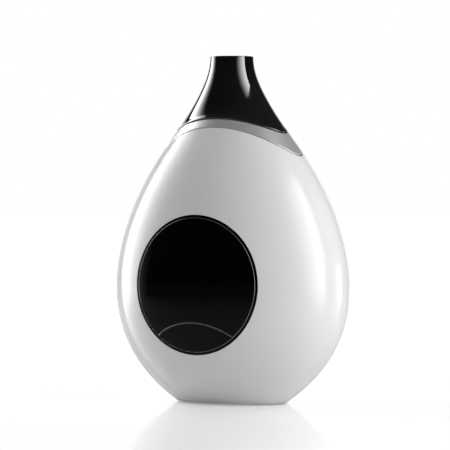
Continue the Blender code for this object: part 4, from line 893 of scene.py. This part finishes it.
cap_low, cap_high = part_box("float_cap")
cap_tall = cap_high.z - cap_low.z
CLIP_RADIUS, CLIP_CHAMFER, CLIP_BORE, CLIP_LEAD_IN = 0.0070, 0.0004, 0.0043, 0.0006
float_clip = lathe("float_clip", [
    (CLIP_RADIUS - CLIP_CHAMFER, cap_tall), (CLIP_RADIUS, cap_tall - CLIP_CHAMFER), (CLIP_RADIUS, 0.0),
    (CLIP_BORE, 0.0), (CLIP_BORE, cap_tall - CLIP_LEAD_IN), (CLIP_BORE + CLIP_LEAD_IN, cap_tall),
    (CLIP_RADIUS - CLIP_CHAMFER, cap_tall),
], 48, ((cap_low.x + cap_high.x) / 2, (cap_low.y + cap_high.y) / 2, cap_low.z))
soften(float_clip, 0.0002)
dress(float_clip, satin_white)
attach(float_clip, "housing")
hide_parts("float_cap")


# ---- Base plate: grained black ABS that closes the housing from below. The air duct and the level
# switch's case have the same finish.
grained_black = finish(
    "grained_black_abs", (0.018, 0.018, 0.019), (0.028, 0.028, 0.030), (0.42, 0.58), 30.0, 1500.0, 0.00005,
    dust=0.20,
)
for name in ("base_plate", "air_duct", "reed_switch"):
    dress_node(name, grained_black)


# ---- Feet: four moulded rubber pads glued in pockets of the base plate, each with a rounded edge
# and a raised grip ring round a shallow dish.
FOOT_RADIUS = 0.0060
soft_rubber = finish(
    "soft_rubber", (0.030, 0.030, 0.032), (0.045, 0.045, 0.046), (0.70, 0.85), 90.0, 2200.0, 0.00003,
    dust=0.30,
)
for number in range(1, 5):
    foot_low, foot_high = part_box(f"rubber_foot_{number}")
    top = foot_high.z - foot_low.z
    foot = lathe(f"grip_foot_{number}", [
        (0.0, 0.0004), (0.0026, 0.0004), (0.0031, 0.0), (0.0051, 0.0), (0.0057, 0.0002),
        (FOOT_RADIUS, 0.0007), (FOOT_RADIUS, top), (0.0, top),
    ], 56, ((foot_low.x + foot_high.x) / 2, (foot_low.y + foot_high.y) / 2, foot_low.z))
    soften(foot, 0.00008)
    dress(foot, soft_rubber)
    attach(foot, "housing")
    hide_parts(f"rubber_foot_{number}")


# ---- Screws: zinc-plated pan heads with a cross recess. Four hold the base plate, three the
# transducer's clamp, and four each the driver board and the display board.
SCREW_RADIUS, SCREW_HEAD, SCREW_HEAD_TALL = 0.0012, 0.0026, 0.0014
RECESS_LONG, RECESS_WIDE, RECESS_DEEP = 0.0028, 0.0006, 0.0008
zinc_plated = finish(
    "zinc_plated", (0.55, 0.56, 0.58), (0.46, 0.47, 0.50), (0.22, 0.38), 300.0, 2600.0, 0.000006,
    stretch=(1.0, 1.0, 3.0), metallic=1.0,
)
THREAD_PITCH, THREAD_DEEP = 0.0008, 0.00018


def pan_head_screw(name, node, along):
    """A screw in the place of a CAD node. Its shank points this way along Z or Y."""
    low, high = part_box(node)
    axis = along.index(1) if 1 in along else along.index(-1)
    grip = high[axis] - low[axis] - SCREW_HEAD_TALL
    profile = [(0.0, grip), (SCREW_RADIUS * 0.55, grip), (SCREW_RADIUS, grip - 0.0009)]
    height = grip - 0.0009
    while height > THREAD_PITCH * 1.6:
        profile.append((SCREW_RADIUS - THREAD_DEEP, height - THREAD_PITCH / 2))
        profile.append((SCREW_RADIUS, height - THREAD_PITCH))
        height -= THREAD_PITCH
    profile += [
        (SCREW_RADIUS, 0.0), (SCREW_HEAD, 0.0), (SCREW_HEAD, -0.0005), (SCREW_HEAD * 0.94, -0.0009),
        (SCREW_HEAD * 0.80, -0.0012), (SCREW_HEAD * 0.62, -SCREW_HEAD_TALL), (0.0, -SCREW_HEAD_TALL),
    ]
    made = lathe(name, profile, 32)
    for recess, turn in (("recess_a", 0.0), ("recess_b", 90.0)):
        carve(made, block(
            recess, (RECESS_LONG, RECESS_WIDE, 2 * RECESS_DEEP), (0.0, 0.0, -SCREW_HEAD_TALL),
            (0.0, 0.0, math.radians(turn)),
        ))
    bpy.ops.object.select_all(action="DESELECT")
    bpy.context.view_layer.objects.active = made
    made.select_set(True)
    bpy.ops.object.shade_smooth_by_angle(angle=EDGE_ANGLE)
    made.rotation_euler = Vector((0.0, 0.0, 1.0)).rotation_difference(Vector(along)).to_euler()
    seat = (low + high) / 2
    seat[axis] = low[axis] + SCREW_HEAD_TALL if along[axis] > 0 else high[axis] - SCREW_HEAD_TALL
    made.location = seat
    settle(made)
    dress(made, zinc_plated)
    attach(made, "housing")
    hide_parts(node)


for number in range(1, 5):
    pan_head_screw(f"base_pan_head_{number}", f"base_screw_{number}", (0, 0, 1))
    pan_head_screw(f"board_pan_head_{number}", f"board_screw_{number}", (0, 0, -1))
    pan_head_screw(f"display_pan_head_{number}", f"display_screw_{number}", (0, -1, 0))
for number in range(1, 4):
    pan_head_screw(f"clamp_pan_head_{number}", f"clamp_screw_{number}", (0, 0, 1))


# ---- Filter cover: a glossy ABS louvre panel flush in the housing's back, with a tray behind it
# that holds the foam. It pulls straight out.
COVER_WALL, TRAY_WALL, TRAY_DEEP = 0.0022, 0.0014, 0.0080
cover_low, cover_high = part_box("filter_cover")
VENTS, VENT_PITCH, VENT_WIDE = 6, 0.0046, 0.0024
tray_wide, tray_tall = FILTER_WIDE - 0.003, FILTER_TALL - 0.003
bpy.ops.object.select_all(action="DESELECT")
bpy.ops.mesh.primitive_grid_add(x_subdivisions=44, y_subdivisions=32, size=1.0, location=(0.0, 0.0, 0.0))
cover = bpy.context.active_object
cover.name = cover.data.name = "louvre_cover"
bpy.ops.object.mode_set(mode="EDIT")
bpy.ops.mesh.select_all(action="SELECT")
bpy.ops.transform.resize(value=(FILTER_WIDE, FILTER_TALL, 1.0), center_override=(0.0, 0.0, 0.0))
bpy.ops.transform.rotate(value=math.radians(90), orient_axis="X", center_override=(0.0, 0.0, 0.0))
bpy.ops.transform.translate(value=(FILTER_X, 0.0, FILTER_HEIGHT))
bpy.ops.object.mode_set(mode="OBJECT")
for corner in cover.data.vertices:
    corner.co.y = surface_y(corner.co.x, corner.co.z) - 0.0002
recalculate(cover)
if sum(face.normal.y for face in cover.data.polygons) < 0:
    bpy.ops.object.mode_set(mode="EDIT")
    bpy.ops.mesh.select_all(action="SELECT")
    bpy.ops.mesh.flip_normals()
    bpy.ops.object.mode_set(mode="OBJECT")
apply_step(cover, "SOLIDIFY", thickness=COVER_WALL, offset=-1.0, use_even_offset=True)
for number in range(VENTS):
    height = FILTER_HEIGHT + VENT_PITCH * (number - (VENTS - 1) / 2)
    carve(cover, block(
        f"vent_{number + 1}", (tray_wide - 2 * TRAY_WALL - 0.004, 0.04, VENT_WIDE),
        (FILTER_X, cover_high.y, height), round_corners=0.0011,
    ))
tidy_cuts(cover, 0.00004)
soften(cover, 0.0003)
tray_back = cover_low.y
frame_tray = block(
    "louvre_tray", (tray_wide, TRAY_DEEP, tray_tall), (FILTER_X, tray_back + TRAY_DEEP / 2, FILTER_HEIGHT),
    round_corners=0.0008,
)
settle(frame_tray)
carve(frame_tray, block(
    "tray_inside", (tray_wide - 2 * TRAY_WALL, 0.05, tray_tall - 2 * TRAY_WALL),
    (FILTER_X, tray_back, FILTER_HEIGHT), round_corners=0.0006,
))
soften(frame_tray, 0.0002)
for piece in (cover, frame_tray):
    dress(piece, white_gloss)
    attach(piece, "rear_filter")
    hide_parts("filter_cover")


# ---- Filter: a pad of open-cell polyurethane foam in the cover's tray. The cells are a fine cell pattern in the material,
# sunk by a bump, with their middles darkened as painted shade, and the pad's edges are slightly soft.
foam_low, foam_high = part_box("air_filter")
filter_foam = bpy.data.materials.new("open_cell_foam")
filter_foam.use_nodes = True
foam_tree = filter_foam.node_tree
foam_shader = foam_tree.nodes["Principled BSDF"]
foam_shader.inputs["Roughness"].default_value = 0.95
foam_where = foam_tree.nodes.new("ShaderNodeTexCoord")
foam_cells = foam_tree.nodes.new("ShaderNodeTexVoronoi")
foam_cells.feature = "DISTANCE_TO_EDGE"
foam_cells.inputs["Scale"].default_value = 900.0
foam_ramp = foam_tree.nodes.new("ShaderNodeMapRange")
foam_ramp.inputs["From Max"].default_value = 0.22
# Painted shade: the cell walls keep a dark grey and the sunken cell middles go near black.
foam_painted_cell_shade = foam_tree.nodes.new("ShaderNodeMix")
foam_painted_cell_shade.data_type = "RGBA"
foam_painted_cell_shade.inputs[6].default_value = (0.10, 0.10, 0.11, 1.0)
foam_painted_cell_shade.inputs[7].default_value = (0.008, 0.008, 0.009, 1.0)
foam_bump = foam_tree.nodes.new("ShaderNodeBump")
foam_bump.inputs["Distance"].default_value = 0.0006
foam_bump.invert = True
foam_tree.links.new(foam_where.outputs["Object"], foam_cells.inputs["Vector"])
foam_tree.links.new(foam_cells.outputs["Distance"], foam_ramp.inputs["Value"])
foam_tree.links.new(foam_ramp.outputs["Result"], foam_painted_cell_shade.inputs["Factor"])
foam_tree.links.new(foam_painted_cell_shade.outputs[2], foam_shader.inputs["Base Color"])
foam_tree.links.new(foam_ramp.outputs["Result"], foam_bump.inputs["Height"])
foam_tree.links.new(foam_bump.outputs["Normal"], foam_shader.inputs["Normal"])
pad = block("foam_pad", foam_high - foam_low, (foam_low + foam_high) / 2, round_corners=0.0008)
settle(pad)
soften(pad, 0.0004)
dress(pad, filter_foam)
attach(pad, "rear_filter")
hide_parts("air_filter")


# ---- Mains inlet: a black two-pole socket with a figure-eight mouth, snapped into the housing's
# back, and two brass pins with rounded tips.
MOUTH_WIDE, MOUTH_TALL, MOUTH_DEEP = 0.0184, 0.0094, 0.0120
PIN_RADIUS, PIN_PITCH, PIN_LONG = 0.0012, 0.0086, 0.0100
inlet_axis = Vector((0.0, math.cos(INLET_TILT), -math.sin(INLET_TILT)))
inlet_face = Vector((INLET_X, inlet_y, INLET_HEIGHT))
inlet_middle = inlet_face - inlet_axis * INLET_DEEP / 2
socket = block(
    "mains_inlet", (INLET_WIDE, INLET_DEEP, INLET_TALL), inlet_middle, (-INLET_TILT, 0.0, 0.0),
    round_corners=0.0010,
)
settle(socket)
for side in (-1, 1):
    rod = rod_along_y("mouth_end", MOUTH_TALL / 2, 0.0, 0.0, -MOUTH_DEEP, 0.01, 64)
    settle(rod)
    rod.location = inlet_face + Vector((side * (MOUTH_WIDE - MOUTH_TALL) / 2, 0.0, 0.0))
    rod.rotation_euler = (-INLET_TILT, 0.0, 0.0)
    carve(socket, rod)
carve(socket, block(
    "mouth_middle", (MOUTH_WIDE - MOUTH_TALL, 2 * MOUTH_DEEP, MOUTH_TALL * 0.86), inlet_face,
    (-INLET_TILT, 0.0, 0.0),
))
tidy_cuts(socket, 0.00003)
soften(socket, 0.0003)
dress(socket, grained_black)
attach(socket, "housing")
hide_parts("inlet_socket")

pin_brass = finish(
    "pin_brass", (0.78, 0.60, 0.28), (0.68, 0.50, 0.22), (0.20, 0.34), 200.0, 1800.0, 0.000006, metallic=1.0,
)
for number, side in enumerate((-1, 1), 1):
    pin = lathe(f"mains_pin_{number}", [
        (0.0, PIN_LONG / 2), (PIN_RADIUS * 0.5, PIN_LONG / 2 - 0.0001),
        (PIN_RADIUS * 0.85, PIN_LONG / 2 - 0.0004), (PIN_RADIUS, PIN_LONG / 2 - 0.0010),
        (PIN_RADIUS, -PIN_LONG / 2), (0.0, -PIN_LONG / 2),
    ], 40)
    bpy.ops.object.shade_smooth_by_angle(angle=EDGE_ANGLE)
    pin.rotation_euler = Vector((0.0, 0.0, 1.0)).rotation_difference(inlet_axis).to_euler()
    pin.location = inlet_face - inlet_axis * (MOUTH_DEEP - 0.0003 - PIN_LONG / 2)
    pin.location.x += side * PIN_PITCH / 2
    settle(pin)
    dress(pin, pin_brass)
    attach(pin, "housing")
    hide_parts(f"inlet_pin_{number}")


# ---- Fan: a square black frame with three struts behind the filter, and a seven-bladed impeller
# with twisted blades that turns in its bore.
dress_node("fan_frame", grained_black)
wheel_low, wheel_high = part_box("fan_impeller")
wheel_place = (wheel_low + wheel_high) / 2
HUB_RADIUS, BLADES = 0.0080, 7
TIP_RADIUS = (wheel_high.x - wheel_low.x) / 2 - 0.0003
hub_long = wheel_high.y - wheel_low.y
hub = lathe("impeller_hub", [
    (0.0, hub_long / 2), (HUB_RADIUS * 0.86, hub_long / 2), (HUB_RADIUS, hub_long / 2 - 0.0011),
    (HUB_RADIUS, -hub_long / 2), (0.0, -hub_long / 2),
], 64)
soften(hub, 0.0002)
BLADE_ROOT, BLADE_THICK, ROOT_CHORD, TIP_CHORD = 0.0070, 0.0009, 0.0072, 0.0098
ROOT_PITCH, TIP_PITCH = math.radians(46), math.radians(30)
blades = []
for number in range(BLADES):
    bpy.ops.object.select_all(action="DESELECT")
    bpy.ops.mesh.primitive_grid_add(x_subdivisions=12, y_subdivisions=10, size=2.0, location=(0.0, 0.0, 0.0))
    blade = bpy.context.active_object
    blade.name = blade.data.name = f"impeller_blade_{number + 1}"
    spoke = 2 * math.pi * number / BLADES
    for corner in blade.data.vertices:
        share, chord = (corner.co.x + 1) / 2, corner.co.y / 2
        radius = BLADE_ROOT + (TIP_RADIUS - BLADE_ROOT) * share
        pitch = ROOT_PITCH + (TIP_PITCH - ROOT_PITCH) * share
        long = chord * (ROOT_CHORD + (TIP_CHORD - ROOT_CHORD) * share)
        turn = spoke + long * math.cos(pitch) / radius
        camber = 0.0008 * (1 - (2 * chord) ** 2)
        rise = long * math.sin(pitch) * 0.86 + camber
        corner.co = (radius * math.cos(turn), radius * math.sin(turn), rise)
    apply_step(blade, "SOLIDIFY", thickness=BLADE_THICK, offset=0.0)
    bpy.ops.object.shade_smooth_by_angle(angle=EDGE_ANGLE)
    blades.append(blade)
for piece in [hub] + blades:
    piece.rotation_euler = (math.radians(-90), 0.0, 0.0)
    piece.location = wheel_place
    settle(piece)
    dress(piece, grained_black)
    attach(piece, "impeller")
    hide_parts("fan_impeller")


# ---- Transducer: a plated piezo disc in a silicone seal, held up against the tank floor by a cast
# aluminium clamp with three screws.
clear_silicone = finish(
    "clear_silicone", (0.62, 0.62, 0.60), (0.56, 0.56, 0.55), (0.45, 0.60), 80.0, 900.0, 0.00002,
)
plated_disc = finish(
    "plated_disc", (0.70, 0.68, 0.62), (0.60, 0.58, 0.54), (0.16, 0.30), 140.0, 1600.0, 0.000004,
    metallic=1.0,
)
cast_clamp = finish(
    "cast_clamp", (0.56, 0.57, 0.58), (0.46, 0.47, 0.48), (0.40, 0.58), 110.0, 1300.0, 0.00004, metallic=1.0,
)
for name, material in (
    ("transducer_seal", clear_silicone), ("transducer_disc", plated_disc), ("transducer_clamp", cast_clamp),
    ("board_heat_sink", cast_clamp),
):
    dress_node(name, material)


# ---- Circuit boards: the driver board on the base plate and the display board behind the lens,
# green laminate with copper lines under the mask, and the parts soldered to them.
laminate = bpy.data.materials.new("masked_laminate")
laminate.use_nodes = True
board_tree = laminate.node_tree
board_shader = board_tree.nodes["Principled BSDF"]
board_shader.inputs["Roughness"].default_value = 0.32
board_where = board_tree.nodes.new("ShaderNodeTexCoord")
board_lines = board_tree.nodes.new("ShaderNodeTexBrick")
board_lines.inputs["Scale"].default_value = 130.0
board_lines.inputs["Mortar Size"].default_value = 0.03
board_lines.inputs["Color1"].default_value = (0.006, 0.060, 0.022, 1.0)
board_lines.inputs["Color2"].default_value = (0.008, 0.072, 0.028, 1.0)
board_lines.inputs["Mortar"].default_value = (0.030, 0.150, 0.050, 1.0)
board_bump = board_tree.nodes.new("ShaderNodeBump")
board_bump.inputs["Distance"].default_value = 0.00004
board_bump.invert = True
board_tree.links.new(board_where.outputs["Object"], board_lines.inputs["Vector"])
board_tree.links.new(board_lines.outputs["Color"], board_shader.inputs["Base Color"])
board_tree.links.new(board_lines.outputs["Fac"], board_bump.inputs["Height"])
board_tree.links.new(board_bump.outputs["Normal"], board_shader.inputs["Normal"])
for name in ("driver_board", "display_board"):
    dress_node(name, laminate)
moulded_part = finish(
    "moulded_part", (0.022, 0.022, 0.024), (0.034, 0.034, 0.036), (0.36, 0.52), 120.0, 1900.0, 0.00002,
    dust=0.05,
)
for name in ("board_transformer", "board_capacitor", "display_module", "button_switch"):
    dress_node(name, moulded_part)


# ---- Leads: PVC-sheathed wires from the driver board to the display board, the fan, the
# transducer, the mains inlet and the level switch.
wire_sheath = finish(
    "wire_sheath", (0.020, 0.020, 0.022), (0.032, 0.032, 0.034), (0.38, 0.52), 150.0, 1500.0, 0.00001,
)
for name in ("display_lead", "fan_lead", "transducer_lead", "inlet_lead", "sensor_lead"):
    dress_node(name, wire_sheath)
